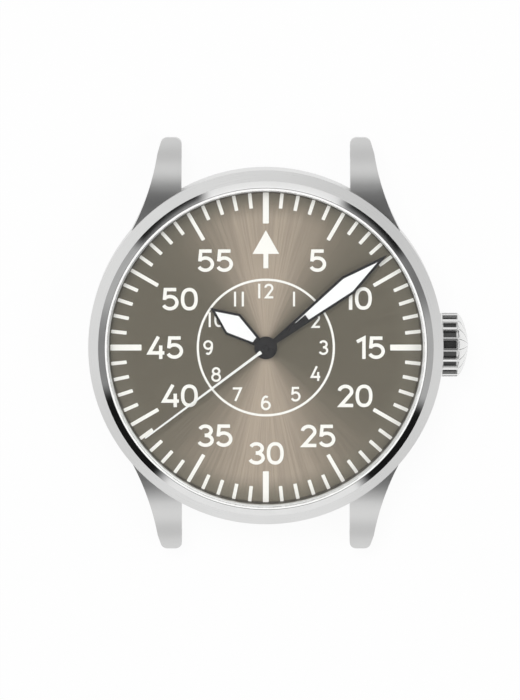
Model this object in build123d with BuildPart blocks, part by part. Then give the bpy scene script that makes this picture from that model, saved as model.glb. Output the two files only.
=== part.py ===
from build123d import *
import os
from math import atan2, cos, degrees, hypot, radians, sin, sqrt, tan

# A hand-wound pilot watch head, in millimetres, lying on its case back.
# +Z runs out through the dial, +Y to 12 o'clock and +X to the crown.
# The origin is the middle of the case back's flat, on the axis of the hands.

# Case middle, from the dial's seat outwards
case_bore_radius = 18.95
dial_ledge = 0.53
flange_slope = 0.18
crystal_ledge = 0.15
crystal_gasket_width = 0.25
bezel_width = 0.8
case_shoulder_width = 1.2
case_bottom_inset = 0.7

dial_opening_radius = case_bore_radius - dial_ledge
flange_top_radius = dial_opening_radius + flange_slope
crystal_radius = flange_top_radius + crystal_ledge
crystal_gasket_radius = crystal_radius + crystal_gasket_width
case_shoulder_radius = crystal_gasket_radius + bezel_width
case_radius = case_shoulder_radius + case_shoulder_width
case_bottom_radius = case_radius - case_bottom_inset

# Case heights, below the dial and above the hands
case_bottom_z = 1.1
case_bottom_slope = 0.9
crystal_clearance = 0.34
bezel_seat_drop = 0.65
case_shoulder_height = 0.6

# Lugs, seen from above and from the side, set out from their ends
lug_gap = 20.0
lug_reach = 3.5
lug_length = 11.5
lug_root_sink = 0.15
lug_flank_width = 4.05
lug_flank_inset = 6.6
lug_waist_width = 2.85
lug_waist_inset = 1.8
lug_tip_width = 2.3
lug_tip_round = 0.8
lug_step = 0.9
lug_crest_inset = 8.6
lug_tip_top_z = 3.0
lug_tip_bottom_z = 1.2
lug_sole_inset = 1.1
lug_sole_z = 0.45
lug_heel_inset = 5.5
lug_heel_z = 1.5
bar_hole_radius = 0.45
bar_hole_depth = 1.4
bar_hole_inset = 1.9
bar_hole_z = 1.95

# Bezel, crystal and gaskets
bezel_wall = 1.0
bezel_slope_deg = 38.0
bezel_lip = 0.12
crystal_thickness = 1.3
crystal_chamfer = 0.2
back_gasket_height = 0.5

# Case back
back_slope_width = 3.1
back_flange_inset = 0.4
back_flange_z = 0.55
back_inner_z = 1.3
back_skirt_thickness = 0.9
back_skirt_top_z = 2.6
back_notch_count = 6
back_notch_width = 2.2
back_notch_depth = 1.6
thread_gap = 0.05

# Heights of the movement, from the case back towards the dial
winding_z = 2.45
winding_thickness = 0.3
seat_gap = 0.05
bridge_thickness = 0.55
level_gap = 0.16
wheel_thickness = 0.13
balance_thickness = 0.35
plate_floor = 1.6
motion_thickness = 0.14
motion_gap = 0.1
dial_clearance = 0.24
dial_thickness = 0.4

bridge_z = winding_z + winding_thickness + seat_gap
plate_z = bridge_z + bridge_thickness
fourth_z = plate_z + level_gap
third_z = fourth_z + wheel_thickness + level_gap
balance_z = third_z + wheel_thickness + level_gap
escape_z = balance_z + balance_thickness + level_gap
centre_z = escape_z + wheel_thickness + level_gap
ceiling_z = centre_z + wheel_thickness + level_gap
motion_floor_z = ceiling_z + plate_floor
minute_wheel_z = motion_floor_z + motion_gap
hour_wheel_z = minute_wheel_z + motion_thickness + motion_gap
dial_z = hour_wheel_z + motion_thickness + dial_clearance
dial_top_z = dial_z + dial_thickness

# Main plate and bridges
train_clearance = 0.27
plate_wall = 1.4
bridge_inset = 0.7
bridge_gap = 0.2
barrel_bridge_deg = 40.0
barrel_bridge_offset = 0.9
cock_width = 2.6
cock_opening_radius = 2.6
running_gap = 0.02
arbor_radius = 0.15
arbor_depth = 0.3

# Going train: teeth, leaves and centre distances
great_teeth = 48
centre_leaves = 8
centre_teeth = 48
third_leaves = 6
third_teeth = 45
fourth_leaves = 6
fourth_teeth = 60
escape_leaves = 6
escape_teeth = 15
barrel_distance = 5.88
third_distance = 4.2
escape_distance = 4.2
third_direction = 190.0
escape_direction = 285.0
spoke_count = 4
spoke_width = 0.4
wheel_rim = 0.45
wheel_hub_radius = 0.8
pinion_overlap = 0.1

# Winding work
winding_module = 0.3
winding_leaves = 12
crown_wheel_teeth = 16
ratchet_teeth = 24
crown_wheel_stud_radius = 0.8
crown_wheel_screw_radius = 1.5
ratchet_screw_radius = 1.2
winding_screw_height = 0.25
winding_root_gap = 0.1
winding_dedendum = 0.2
winding_bite = 0.25
winding_pinion_inset = 2.15
winding_pinion_length = 0.85
clutch_radius = 1.1
clutch_length = 0.75
clutch_throw = 0.6
stem_radius = 0.5
stem_pilot_radius = 0.3
stem_square = 0.68
stem_groove_radius = 0.3
stem_groove_inset = 0.8
stem_groove_width = 0.6
stem_crown_depth = 0.8
pull_travel = 0.75
pilot_hold = 0.05
keyless_clearance = 0.2
keyless_end_clearance = 0.3
keyless_gap = 0.1
pilot_block_half_width = 0.45
pilot_block_depth = 0.5

# Barrel
drum_inset = 0.08
drum_wall = 0.25
drum_floor = 0.13
drum_cover = 0.1
great_wheel_thickness = 0.25
barrel_arbor_radius = 0.6
mainspring_turns = 2
mainspring_thickness = 0.3
mainspring_gap = 0.05

# Escapement and balance
escape_radius = 2.1
escape_tooth_length = 0.5
escape_rim = 0.3
escape_hub_radius = 0.55
escape_heel_share = 0.3
escape_toe_share = 0.75
pallet_span_deg = 60.0
pallet_direction = 215.0
balance_direction = 203.0
pallet_to_balance = 3.35
pallet_arm_width = 0.34
pallet_thickness = 0.14
stone_width = 0.16
stone_length = 0.5
stone_gap = 0.02
fork_reach_gap = 0.45
fork_width = 0.74
fork_length = 0.55
fork_slot_width = 0.26
fork_slot_depth = 0.35
balance_radius = 2.9
balance_rim = 0.45
balance_arm_width = 0.5
roller_radius = 0.75
roller_thickness = 0.06
impulse_radius = 0.1
impulse_offset = 0.55
impulse_gap = 0.03
hairspring_radius = 0.7
hairspring_turns = 3
hairspring_pitch = 0.45
hairspring_thickness = 0.06
hairspring_height = 0.13
stud_width = 0.4

# Motion work behind the dial
cannon_leaves = 8
minute_teeth = 24
minute_leaves = 8
hour_teeth = 32
setting_teeth = 20
motion_distance = 2.4
minute_wheel_direction = 0.0
post_radius = 0.2
second_arbor_radius = 0.12
centre_pipe_wall = 0.15
cannon_pipe_wall = 0.19
hour_pipe_wall = 0.25
pipe_gap = 0.03
dial_hole_gap = 0.15

centre_pipe_radius = second_arbor_radius + pipe_gap + centre_pipe_wall
cannon_pipe_radius = centre_pipe_radius + pipe_gap + cannon_pipe_wall
hour_pipe_radius = cannon_pipe_radius + pipe_gap + hour_pipe_wall

# Hands: the photograph's time, with its hour hand a little ahead of where the minutes put it
minute_hand_deg = 52.3
hour_hand_lead_deg = 1.5
hour_hand_deg = 300.0 + minute_hand_deg / 12 + hour_hand_lead_deg
second_hand_deg = 233.3
hand_thickness = 0.16
hand_border = 0.3
lume_rise = 0.03
hour_hand_lift = 0.45
hand_step = 0.45
boss_height = 0.18
hour_hub_radius = 1.35
hour_base_half_width = 0.5
hour_base_y = 1.1
hour_shoulder_half_width = 1.48
hour_point_length = 3.3
hour_hand_length = 8.1
minute_hub_radius = 1.3
minute_base_half_width = 0.3
minute_base_y = 1.1
minute_shoulder_half_width = 1.22
minute_point_length = 5.85
minute_hand_gap = 0.3
minute_lume_y = 4.6
second_hub_radius = 1.15
second_base_half_width = 0.16
second_tip_half_width = 0.09
second_hand_gap = 0.62
second_neck_half_width = 0.2
second_neck_y = 2.4
second_tail_half_width = 0.42
second_tail_length = 6.1

hour_hand_z = dial_top_z + hour_hand_lift
minute_hand_z = hour_hand_z + hand_step
second_hand_z = minute_hand_z + hand_step

# Dial feet and movement ring
dial_edge_gap = 0.05
dial_foot_radius = 0.35
dial_foot_length = 1.5
dial_foot_inset = 0.9
dial_foot_degs = (75.0, 255.0)
ring_fit = 0.05
stem_slot_width = 2.6

# Crown and its tube
crown_radius = 3.8
crown_rib_height = 0.35
crown_rib_count = 18
crown_sink = 0.35
crown_length = 3.35
crown_shoulder_inset = 1.45
crown_cap_inset = 0.5
crown_cap_radius = 2.1
crown_edge_inset = 0.15
crown_edge_radius = 0.95
crown_recess_gap = 0.15
crown_seat_gap = 0.05
crown_well_radius = 1.7
crown_well_depth = 1.55
tube_radius = 1.2
tube_bore_radius = 0.7
tube_reach = 1.25
crown_gasket_inset = 0.55
crown_gasket_length = 0.5

# Tooth proportions, as shares of the module or of the pitch angle
addendum_share = 1.0
dedendum_share = 1.25
leaf_tip_share = 0.22
leaf_root_share = 0.6

overrun = 1.0

# Heights that follow the hands
crystal_seat_z = second_hand_z + hand_thickness + crystal_clearance
case_shoulder_z = crystal_seat_z - bezel_seat_drop
case_side_top_z = case_shoulder_z - case_shoulder_height
case_side_bottom_z = case_bottom_z + case_bottom_slope
lug_top_z = case_side_top_z - lug_step
bezel_wall_z = case_shoulder_z + bezel_wall


def polar(radius, angle_deg, centre=(0, 0)):
    """A point at a radius and an angle, counted anticlockwise from +X."""
    angle = radians(angle_deg)
    return (centre[0] + radius * cos(angle), centre[1] + radius * sin(angle))


def meshing_phase(direction, teeth, phase, other_teeth):
    """The turn of a gear, lying in a direction from another, that meets the other's teeth with its gaps."""
    passed = ((direction - phase) * teeth / 360) % 1
    return direction + 180 - (0.5 - passed) * 360 / other_teeth


def wheel_points(teeth, module, phase):
    """The outline of a thin wheel with pointed teeth."""
    pitch_radius = teeth * module / 2
    points = []
    for tooth in range(teeth):
        points.append(polar(pitch_radius + addendum_share * module, phase + tooth * 360 / teeth))
        points.append(polar(pitch_radius - dedendum_share * module, phase + (tooth + 0.5) * 360 / teeth))
    return points


def leaf_points(leaves, root_radius, tip_radius, phase):
    """The outline of a pinion with flat-topped leaves."""
    corners = (
        (root_radius, -leaf_root_share / 2),
        (tip_radius, -leaf_tip_share / 2),
        (tip_radius, leaf_tip_share / 2),
        (root_radius, leaf_root_share / 2),
    )
    return [
        polar(radius, phase + (leaf + share) * 360 / leaves)
        for leaf in range(leaves)
        for radius, share in corners
    ]


def pinion_points(leaves, module, phase):
    """The outline of a pinion that follows the module of the wheel it meets."""
    pitch_radius = leaves * module / 2
    return leaf_points(
        leaves, pitch_radius - dedendum_share * module, pitch_radius + addendum_share * module, phase
    )


def moved(points, centre):
    """An outline carried to another centre."""
    return [(centre[0] + x, centre[1] + y) for x, y in points]


def turned(points, angle_deg):
    """An outline turned about the origin."""
    c, s = cos(radians(angle_deg)), sin(radians(angle_deg))
    return [(c * x - s * y, s * x + c * y) for x, y in points]


def prism(points, z, height, mode=Mode.ADD):
    """Stand an outline on a level of the open piece and extrude it."""
    with BuildSketch(Plane.XY.offset(z)) as outline:
        Polygon(*points, align=None)
    extrude(outline.sketch, amount=height, mode=mode)


def disc(centre, radius, z, top_z, mode=Mode.ADD):
    """Add or cut an upright cylinder between two levels of the open piece."""
    with BuildSketch(Plane.XY.offset(z)) as outline:
        with Locations(centre):
            Circle(radius)
    extrude(outline.sketch, amount=top_z - z, mode=mode)


def stem_plane(x):
    """The plane across the stem at a place along it."""
    return Plane((x, 0, stem_z), x_dir=(0, 1, 0), z_dir=(1, 0, 0))


def rod(radius, start_x, end_x, mode=Mode.ADD):
    """Add or cut a cylinder along the stem's axis in the open piece."""
    with BuildSketch(stem_plane(start_x)) as outline:
        Circle(radius)
    extrude(outline.sketch, amount=end_x - start_x, mode=mode)


def ring(profile, axis=Axis.Z):
    """Revolve an outline of the XZ plane in the open piece."""
    with BuildSketch(Plane.XZ) as outline:
        Polygon(*profile, align=None)
    revolve(outline.sketch, axis=axis)


def strip_points(start, end, width):
    """A straight strip of a width between two points."""
    length = hypot(end[0] - start[0], end[1] - start[1])
    across = (-(end[1] - start[1]) / length * width / 2, (end[0] - start[0]) / length * width / 2)
    return [
        (start[0] + across[0], start[1] + across[1]),
        (start[0] - across[0], start[1] - across[1]),
        (end[0] - across[0], end[1] - across[1]),
        (end[0] + across[0], end[1] + across[1]),
    ]


def windows(centre, inner_radius, outer_radius, count, spoke, z, height):
    """Cut the windows between a wheel's spokes."""
    half_step = radians(180 / count)
    inner_x, outer_x = inner_radius * cos(half_step), outer_radius * cos(half_step)
    inner_y = inner_radius * sin(half_step) - spoke / 2
    outer_y = outer_radius * sin(half_step) - spoke / 2
    corners = [(inner_x, -inner_y), (outer_x, -outer_y), (outer_x, outer_y), (inner_x, inner_y)]
    for window in range(count):
        prism(moved(turned(corners, window * 360 / count), centre), z, height, Mode.SUBTRACT)


def spiral(centre, direction, z, start_radius, pitch, turns, thickness, height):
    """Coil a flat spring of half circles, each half a pitch wider than the last."""
    plane = Plane((centre[0], centre[1], z), x_dir=(*polar(1, direction), 0), z_dir=(0, 0, 1))
    with BuildSketch(plane) as outline:
        with BuildLine():
            edges = []
            for side in (-thickness / 2, thickness / 2):
                for half in range(2 * turns):
                    radius = start_radius + half * pitch / 2 + side
                    middle = (half % 2) * pitch / 2
                    CenterArc((middle, 0), radius, (half % 2) * 180, 180)
                edges.append((start_radius + side, start_radius + turns * pitch + side))
            Line((edges[0][0], 0), (edges[1][0], 0))
            Line((edges[0][1], 0), (edges[1][1], 0))
        make_face()
    extrude(outline.sketch, amount=height)


# The movement's radii, from its largest wheel outwards
centre_pinion_module = 2 * barrel_distance / (great_teeth + centre_leaves)
great_tip_radius = (great_teeth / 2 + addendum_share) * centre_pinion_module
great_root_radius = (great_teeth / 2 - dedendum_share) * centre_pinion_module
drum_radius = great_root_radius - drum_inset
plate_wall_radius = barrel_distance + great_tip_radius + train_clearance
movement_radius = plate_wall_radius + plate_wall
bridge_radius = movement_radius - bridge_inset
dial_foot_offset = movement_radius - dial_foot_inset
escape_root_radius = escape_radius - escape_tooth_length
escape_window_radius = escape_root_radius - escape_rim

# The stem's axis, and what it carries from the plate's wall inwards
winding_root_radius = winding_leaves * winding_module / 2 - winding_dedendum
winding_tip_radius = winding_root_radius + winding_root_gap + winding_thickness
stem_z = winding_z + winding_thickness + winding_root_gap + winding_root_radius
stem_axis = Axis((0, 0, stem_z), (1, 0, 0))
winding_pinion_x = plate_wall_radius - winding_pinion_inset
winding_pinion_end_x = winding_pinion_x + winding_pinion_length
crown_wheel_x = winding_pinion_x + winding_bite - crown_wheel_teeth * winding_module / 2
stem_square_end_x = winding_pinion_x - seat_gap
clutch_x = stem_square_end_x - clutch_length
keyless_x = clutch_x - clutch_throw - keyless_clearance
keyless_end_x = winding_pinion_end_x + keyless_end_clearance
block_end_x = keyless_x - seat_gap
stem_pilot_x = block_end_x - pull_travel - pilot_hold
stem_groove_x = plate_wall_radius - stem_groove_inset

# Places in plan
third_pinion_module = 2 * third_distance / (centre_teeth + third_leaves)
fourth_pinion_module = 2 * third_distance / (third_teeth + fourth_leaves)
escape_pinion_module = 2 * escape_distance / (fourth_teeth + escape_leaves)
cannon_module = 2 * motion_distance / (cannon_leaves + minute_teeth)
hour_module = 2 * motion_distance / (minute_leaves + hour_teeth)

crown_wheel_centre = (crown_wheel_x, 0)
ratchet_distance = (crown_wheel_teeth + ratchet_teeth) * winding_module / 2
barrel_x = (barrel_distance**2 - ratchet_distance**2 + crown_wheel_x**2) / (2 * crown_wheel_x)
barrel_centre = (barrel_x, sqrt(barrel_distance**2 - barrel_x**2))
barrel_direction = degrees(atan2(barrel_centre[1], barrel_centre[0]))
third_centre = polar(third_distance, third_direction)
escape_centre = polar(escape_distance, escape_direction)
pallet_distance = escape_radius / cos(radians(pallet_span_deg / 2))
pallet_centre = polar(pallet_distance, pallet_direction, escape_centre)
balance_centre = polar(pallet_to_balance, balance_direction, pallet_centre)
balance_bearing = degrees(atan2(balance_centre[1], balance_centre[0]))
minute_wheel_centre = polar(motion_distance, minute_wheel_direction)
setting_distance = (minute_teeth + setting_teeth) * cannon_module / 2
setting_centre = polar(setting_distance, minute_wheel_direction, minute_wheel_centre)

# Phases, so that every pair stands in mesh
centre_pinion_phase = 0
great_phase = meshing_phase(barrel_direction, centre_leaves, centre_pinion_phase, great_teeth)
centre_phase = 0
third_pinion_phase = meshing_phase(third_direction, centre_teeth, centre_phase, third_leaves)
fourth_pinion_phase = 0
third_phase = meshing_phase(third_direction, fourth_leaves, fourth_pinion_phase, third_teeth)
fourth_phase = 0
escape_pinion_phase = meshing_phase(escape_direction, fourth_teeth, fourth_phase, escape_leaves)
cannon_phase = 0
minute_phase = meshing_phase(minute_wheel_direction, cannon_leaves, cannon_phase, minute_teeth)
setting_phase = meshing_phase(minute_wheel_direction, minute_teeth, minute_phase, setting_teeth)
hour_phase = 0
minute_pinion_phase = meshing_phase(minute_wheel_direction, hour_teeth, hour_phase, minute_leaves)
crown_wheel_phase = 180 / crown_wheel_teeth
ratchet_direction = degrees(atan2(barrel_centre[1], barrel_centre[0] - crown_wheel_x))
ratchet_phase = meshing_phase(ratchet_direction, crown_wheel_teeth, crown_wheel_phase, ratchet_teeth)

os.makedirs("parts", exist_ok=True)

# Case middle: band, neck, dial flange and crown recess

crown_base_x = case_radius - crown_sink

with BuildPart() as case_middle:
    ring([
        (case_bore_radius, case_bottom_z),
        (case_bottom_radius, case_bottom_z),
        (case_radius, case_side_bottom_z),
        (case_radius, case_side_top_z),
        (case_shoulder_radius, case_shoulder_z),
        (crystal_gasket_radius, case_shoulder_z),
        (crystal_gasket_radius, crystal_seat_z),
        (flange_top_radius, crystal_seat_z),
        (dial_opening_radius, dial_top_z),
        (case_bore_radius, dial_top_z),
    ])
    crown_recess_x = crown_base_x - crown_seat_gap
    rod(crown_radius + crown_recess_gap, crown_recess_x, case_radius + overrun, Mode.SUBTRACT)
    rod(tube_radius, case_bore_radius - overrun, case_radius, Mode.SUBTRACT)
case_middle.part.label = "case_middle"
export_step(case_middle.part, "parts/case_middle.step")

# Four lugs, seated on the band, each drilled from the gap for a spring bar

lug_side = lug_gap / 2
lug_end_y = case_radius + lug_reach
lug_root_y = lug_end_y - lug_length
lug_root_x = sqrt((case_radius - lug_root_sink) ** 2 - lug_root_y**2)

with BuildPart() as lugs:
    with BuildSketch(Plane.XY):
        with BuildLine():
            Line((lug_side, lug_end_y), (lug_side, lug_root_y))
            Line((lug_side, lug_root_y), (lug_root_x, lug_root_y))
            ThreePointArc(
                (lug_root_x, lug_root_y),
                (lug_side + lug_flank_width, lug_end_y - lug_flank_inset),
                (lug_side + lug_waist_width, lug_end_y - lug_waist_inset),
            )
            Line(
                (lug_side + lug_waist_width, lug_end_y - lug_waist_inset),
                (lug_side + lug_tip_width, lug_end_y),
            )
            Line((lug_side + lug_tip_width, lug_end_y), (lug_side, lug_end_y))
        make_face()
    extrude(amount=lug_top_z)
    fillet(lugs.edges().filter_by(Axis.Z).group_by(Axis.Y)[-1], lug_tip_round)
    with BuildSketch(Plane.YZ):
        with BuildLine():
            Polyline(
                (lug_end_y, lug_tip_top_z),
                (lug_end_y, lug_tip_bottom_z),
                (lug_end_y - lug_sole_inset, lug_sole_z),
                (lug_end_y - lug_heel_inset, lug_heel_z),
                (lug_root_y, lug_heel_z),
                (lug_root_y, lug_top_z),
                (lug_end_y - lug_crest_inset, lug_top_z),
            )
            TangentArc(
                (lug_end_y - lug_crest_inset, lug_top_z),
                (lug_end_y, lug_tip_top_z),
                tangent=(1, 0),
            )
        make_face()
    extrude(amount=case_radius, mode=Mode.INTERSECT)
    disc((0, 0), case_radius, 0, lug_top_z, Mode.SUBTRACT)
    hole_plane = Plane((lug_side, lug_end_y - bar_hole_inset, bar_hole_z), x_dir=(0, 1, 0), z_dir=(1, 0, 0))
    with BuildSketch(hole_plane):
        Circle(bar_hole_radius)
    extrude(amount=bar_hole_depth, mode=Mode.SUBTRACT)
    mirror(about=Plane.YZ)
    mirror(about=Plane.XZ)
lugs.part.label = "lugs"
export_step(lugs.part, "parts/lugs.step")

# Bezel, crystal and gaskets

bezel_lip_radius = crystal_gasket_radius + bezel_lip
bezel_top_z = bezel_wall_z + (case_shoulder_radius - bezel_lip_radius) * tan(radians(bezel_slope_deg))

with BuildPart() as bezel:
    ring([
        (crystal_gasket_radius, case_shoulder_z),
        (case_shoulder_radius, case_shoulder_z),
        (case_shoulder_radius, bezel_wall_z),
        (bezel_lip_radius, bezel_top_z),
        (crystal_gasket_radius, bezel_top_z),
    ])
bezel.part.label = "bezel"
export_step(bezel.part, "parts/bezel.step")

with BuildPart() as crystal:
    crystal_top_z = crystal_seat_z + crystal_thickness
    disc((0, 0), crystal_radius, crystal_seat_z, crystal_top_z)
    chamfer(crystal.edges().group_by(Axis.Z)[-1], crystal_chamfer)
crystal.part.label = "crystal"
export_step(crystal.part, "parts/crystal.step")

with BuildPart() as crystal_gasket:
    disc((0, 0), crystal_gasket_radius, crystal_seat_z, bezel_top_z)
    disc((0, 0), crystal_radius, crystal_seat_z, bezel_top_z, Mode.SUBTRACT)
crystal_gasket.part.label = "crystal_gasket"
export_step(crystal_gasket.part, "parts/crystal_gasket.step")

# Case back: a screwed cover with key notches and a plain flat

with BuildPart() as case_back:
    skirt_radius = case_bore_radius - thread_gap
    skirt_inner_radius = skirt_radius - back_skirt_thickness
    back_flange_radius = case_bottom_radius - back_flange_inset
    ring([
        (0, 0),
        (back_flange_radius - back_slope_width, 0),
        (back_flange_radius, back_flange_z),
        (back_flange_radius, case_bottom_z),
        (skirt_radius, case_bottom_z),
        (skirt_radius, back_skirt_top_z),
        (skirt_inner_radius, back_skirt_top_z),
        (skirt_inner_radius, back_inner_z),
        (0, back_inner_z),
    ])
    with BuildSketch(Plane.XY):
        with PolarLocations(back_flange_radius, back_notch_count):
            Rectangle(2 * back_notch_depth, back_notch_width)
    extrude(amount=back_flange_z, mode=Mode.SUBTRACT)
case_back.part.label = "case_back"
export_step(case_back.part, "parts/case_back.step")

with BuildPart() as case_back_gasket:
    gasket_top_z = back_skirt_top_z + back_gasket_height
    disc((0, 0), skirt_radius, back_skirt_top_z, gasket_top_z)
    disc((0, 0), skirt_inner_radius, back_skirt_top_z, gasket_top_z, Mode.SUBTRACT)
case_back_gasket.part.label = "case_back_gasket"
export_step(case_back_gasket.part, "parts/case_back_gasket.step")

# Crown, stem and tube

tube_end_x = crown_base_x + tube_reach

with BuildPart() as crown_tube:
    rod(tube_radius, case_bore_radius, tube_end_x)
    rod(tube_bore_radius, case_bore_radius, tube_end_x, Mode.SUBTRACT)
crown_tube.part.label = "crown_tube"
export_step(crown_tube.part, "parts/crown_tube.step")

crown_root_radius = crown_radius - crown_rib_height
crown_well_x = crown_base_x + crown_well_depth
crown_tip_x = crown_base_x + crown_length
crown_shoulder_x = crown_tip_x - crown_shoulder_inset
stem_end_x = crown_well_x + stem_crown_depth

with BuildPart() as crown:
    with BuildSketch(stem_plane(crown_base_x)):
        Polygon(*leaf_points(crown_rib_count, crown_root_radius, crown_radius, 0), align=None)
        Circle(crown_well_radius, mode=Mode.SUBTRACT)
    extrude(amount=crown_shoulder_x - crown_base_x)
    ring(
        [
            (crown_well_x, stem_z + crown_well_radius),
            (crown_shoulder_x, stem_z + crown_root_radius),
            (crown_tip_x - crown_cap_inset, stem_z + crown_cap_radius),
            (crown_tip_x - crown_edge_inset, stem_z + crown_edge_radius),
            (crown_tip_x, stem_z),
            (stem_end_x, stem_z),
            (stem_end_x, stem_z + stem_radius),
            (crown_well_x, stem_z + stem_radius),
        ],
        stem_axis,
    )
crown.part.label = "crown"
export_step(crown.part, "parts/crown.step")

with BuildPart() as crown_gasket:
    crown_gasket_x = crown_base_x + crown_gasket_inset
    rod(crown_well_radius, crown_gasket_x, crown_gasket_x + crown_gasket_length)
    rod(tube_radius + pipe_gap, crown_gasket_x, crown_gasket_x + crown_gasket_length, Mode.SUBTRACT)
crown_gasket.part.label = "crown_gasket"
export_step(crown_gasket.part, "parts/crown_gasket.step")

with BuildPart() as stem:
    rod(stem_pilot_radius, stem_pilot_x, keyless_x)
    with BuildSketch(stem_plane(keyless_x)):
        Rectangle(stem_square, stem_square)
    extrude(amount=stem_square_end_x - keyless_x)
    rod(stem_radius, stem_square_end_x, stem_groove_x)
    rod(stem_groove_radius, stem_groove_x, stem_groove_x + stem_groove_width)
    rod(stem_radius, stem_groove_x + stem_groove_width, stem_end_x)
stem.part.label = "stem"
export_step(stem.part, "parts/stem.step")

# Winding work

with BuildPart() as winding_pinion:
    with BuildSketch(stem_plane(winding_pinion_x)):
        Polygon(*leaf_points(winding_leaves, winding_root_radius, winding_tip_radius, -90), align=None)
        Circle(stem_radius + running_gap, mode=Mode.SUBTRACT)
    extrude(amount=winding_pinion_length)
winding_pinion.part.label = "winding_pinion"
export_step(winding_pinion.part, "parts/winding_pinion.step")

with BuildPart() as clutch:
    with BuildSketch(stem_plane(clutch_x)):
        Circle(clutch_radius)
        Rectangle(stem_square + 2 * running_gap, stem_square + 2 * running_gap, mode=Mode.SUBTRACT)
    extrude(amount=clutch_length)
clutch.part.label = "clutch"
export_step(clutch.part, "parts/clutch.step")

with BuildPart() as crown_wheel:
    prism(
        moved(wheel_points(crown_wheel_teeth, winding_module, crown_wheel_phase), crown_wheel_centre),
        winding_z,
        winding_thickness,
    )
    disc(
        crown_wheel_centre,
        crown_wheel_stud_radius + running_gap,
        winding_z,
        winding_z + winding_thickness,
        Mode.SUBTRACT,
    )
crown_wheel.part.label = "crown_wheel"
export_step(crown_wheel.part, "parts/crown_wheel.step")

winding_screw_z = winding_z - running_gap

with BuildPart() as crown_wheel_screw:
    disc(crown_wheel_centre, crown_wheel_stud_radius, winding_screw_z, bridge_z)
    disc(
        crown_wheel_centre,
        crown_wheel_screw_radius,
        winding_screw_z - winding_screw_height,
        winding_screw_z,
    )
crown_wheel_screw.part.label = "crown_wheel_screw"
export_step(crown_wheel_screw.part, "parts/crown_wheel_screw.step")

with BuildPart() as ratchet_wheel:
    prism(
        moved(wheel_points(ratchet_teeth, winding_module, ratchet_phase), barrel_centre),
        winding_z,
        winding_thickness,
    )
    disc(barrel_centre, barrel_arbor_radius, winding_z, winding_z + winding_thickness, Mode.SUBTRACT)
ratchet_wheel.part.label = "ratchet_wheel"
export_step(ratchet_wheel.part, "parts/ratchet_wheel.step")

with BuildPart() as ratchet_screw:
    disc(barrel_centre, ratchet_screw_radius, winding_z - winding_screw_height, winding_z)
ratchet_screw.part.label = "ratchet_screw"
export_step(ratchet_screw.part, "parts/ratchet_screw.step")

# Barrel with its arbor and mainspring

barrel_top_z = escape_z + wheel_thickness
drum_inner_radius = drum_radius - drum_wall
drum_inner_top_z = barrel_top_z - drum_floor
drum_inner_z = third_z + drum_cover
mainspring_radius = barrel_arbor_radius + running_gap + mainspring_thickness / 2
mainspring_reach = drum_inner_radius - mainspring_thickness / 2 - mainspring_radius

with BuildPart() as barrel_arbor:
    disc(barrel_centre, barrel_arbor_radius, winding_z, ceiling_z + arbor_depth)
barrel_arbor.part.label = "barrel_arbor"
export_step(barrel_arbor.part, "parts/barrel_arbor.step")

with BuildPart() as barrel:
    prism(
        moved(wheel_points(great_teeth, centre_pinion_module, great_phase), barrel_centre),
        barrel_top_z - great_wheel_thickness,
        great_wheel_thickness,
    )
    disc(barrel_centre, drum_radius, drum_inner_z, barrel_top_z)
    disc(barrel_centre, drum_inner_radius, drum_inner_z, drum_inner_top_z, Mode.SUBTRACT)
    disc(barrel_centre, barrel_arbor_radius + running_gap, drum_inner_z, barrel_top_z, Mode.SUBTRACT)
barrel.part.label = "barrel"
export_step(barrel.part, "parts/barrel.step")

with BuildPart() as barrel_cover:
    disc(barrel_centre, drum_radius, third_z, drum_inner_z)
    disc(barrel_centre, barrel_arbor_radius + running_gap, third_z, drum_inner_z, Mode.SUBTRACT)
barrel_cover.part.label = "barrel_cover"
export_step(barrel_cover.part, "parts/barrel_cover.step")

with BuildPart() as mainspring:
    spiral(
        barrel_centre,
        barrel_direction,
        drum_inner_z + mainspring_gap,
        mainspring_radius,
        mainspring_reach / mainspring_turns,
        mainspring_turns,
        mainspring_thickness,
        drum_inner_top_z - drum_inner_z - 2 * mainspring_gap,
    )
mainspring.part.label = "mainspring"
export_step(mainspring.part, "parts/mainspring.step")

# Going train

centre_wheel_radius = centre_teeth * third_pinion_module / 2 - dedendum_share * third_pinion_module
third_wheel_radius = third_teeth * fourth_pinion_module / 2 - dedendum_share * fourth_pinion_module
fourth_wheel_radius = fourth_teeth * escape_pinion_module / 2 - dedendum_share * escape_pinion_module
centre_pinion_z = barrel_top_z - great_wheel_thickness - pinion_overlap
fourth_pinion_top_z = third_z + wheel_thickness + pinion_overlap
centre_pipe_top_z = minute_hand_z - pinion_overlap

with BuildPart() as centre_wheel:
    prism(wheel_points(centre_teeth, third_pinion_module, centre_phase), centre_z, wheel_thickness)
    windows(
        (0, 0), wheel_hub_radius, centre_wheel_radius - wheel_rim, spoke_count, spoke_width,
        centre_z, wheel_thickness,
    )
    prism(
        pinion_points(centre_leaves, centre_pinion_module, centre_pinion_phase),
        centre_pinion_z,
        centre_z - centre_pinion_z,
    )
    disc((0, 0), centre_pipe_radius, centre_z, centre_pipe_top_z)
    disc((0, 0), second_arbor_radius + pipe_gap, centre_pinion_z, centre_pipe_top_z, Mode.SUBTRACT)
centre_wheel.part.label = "centre_wheel"
export_step(centre_wheel.part, "parts/centre_wheel.step")

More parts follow.
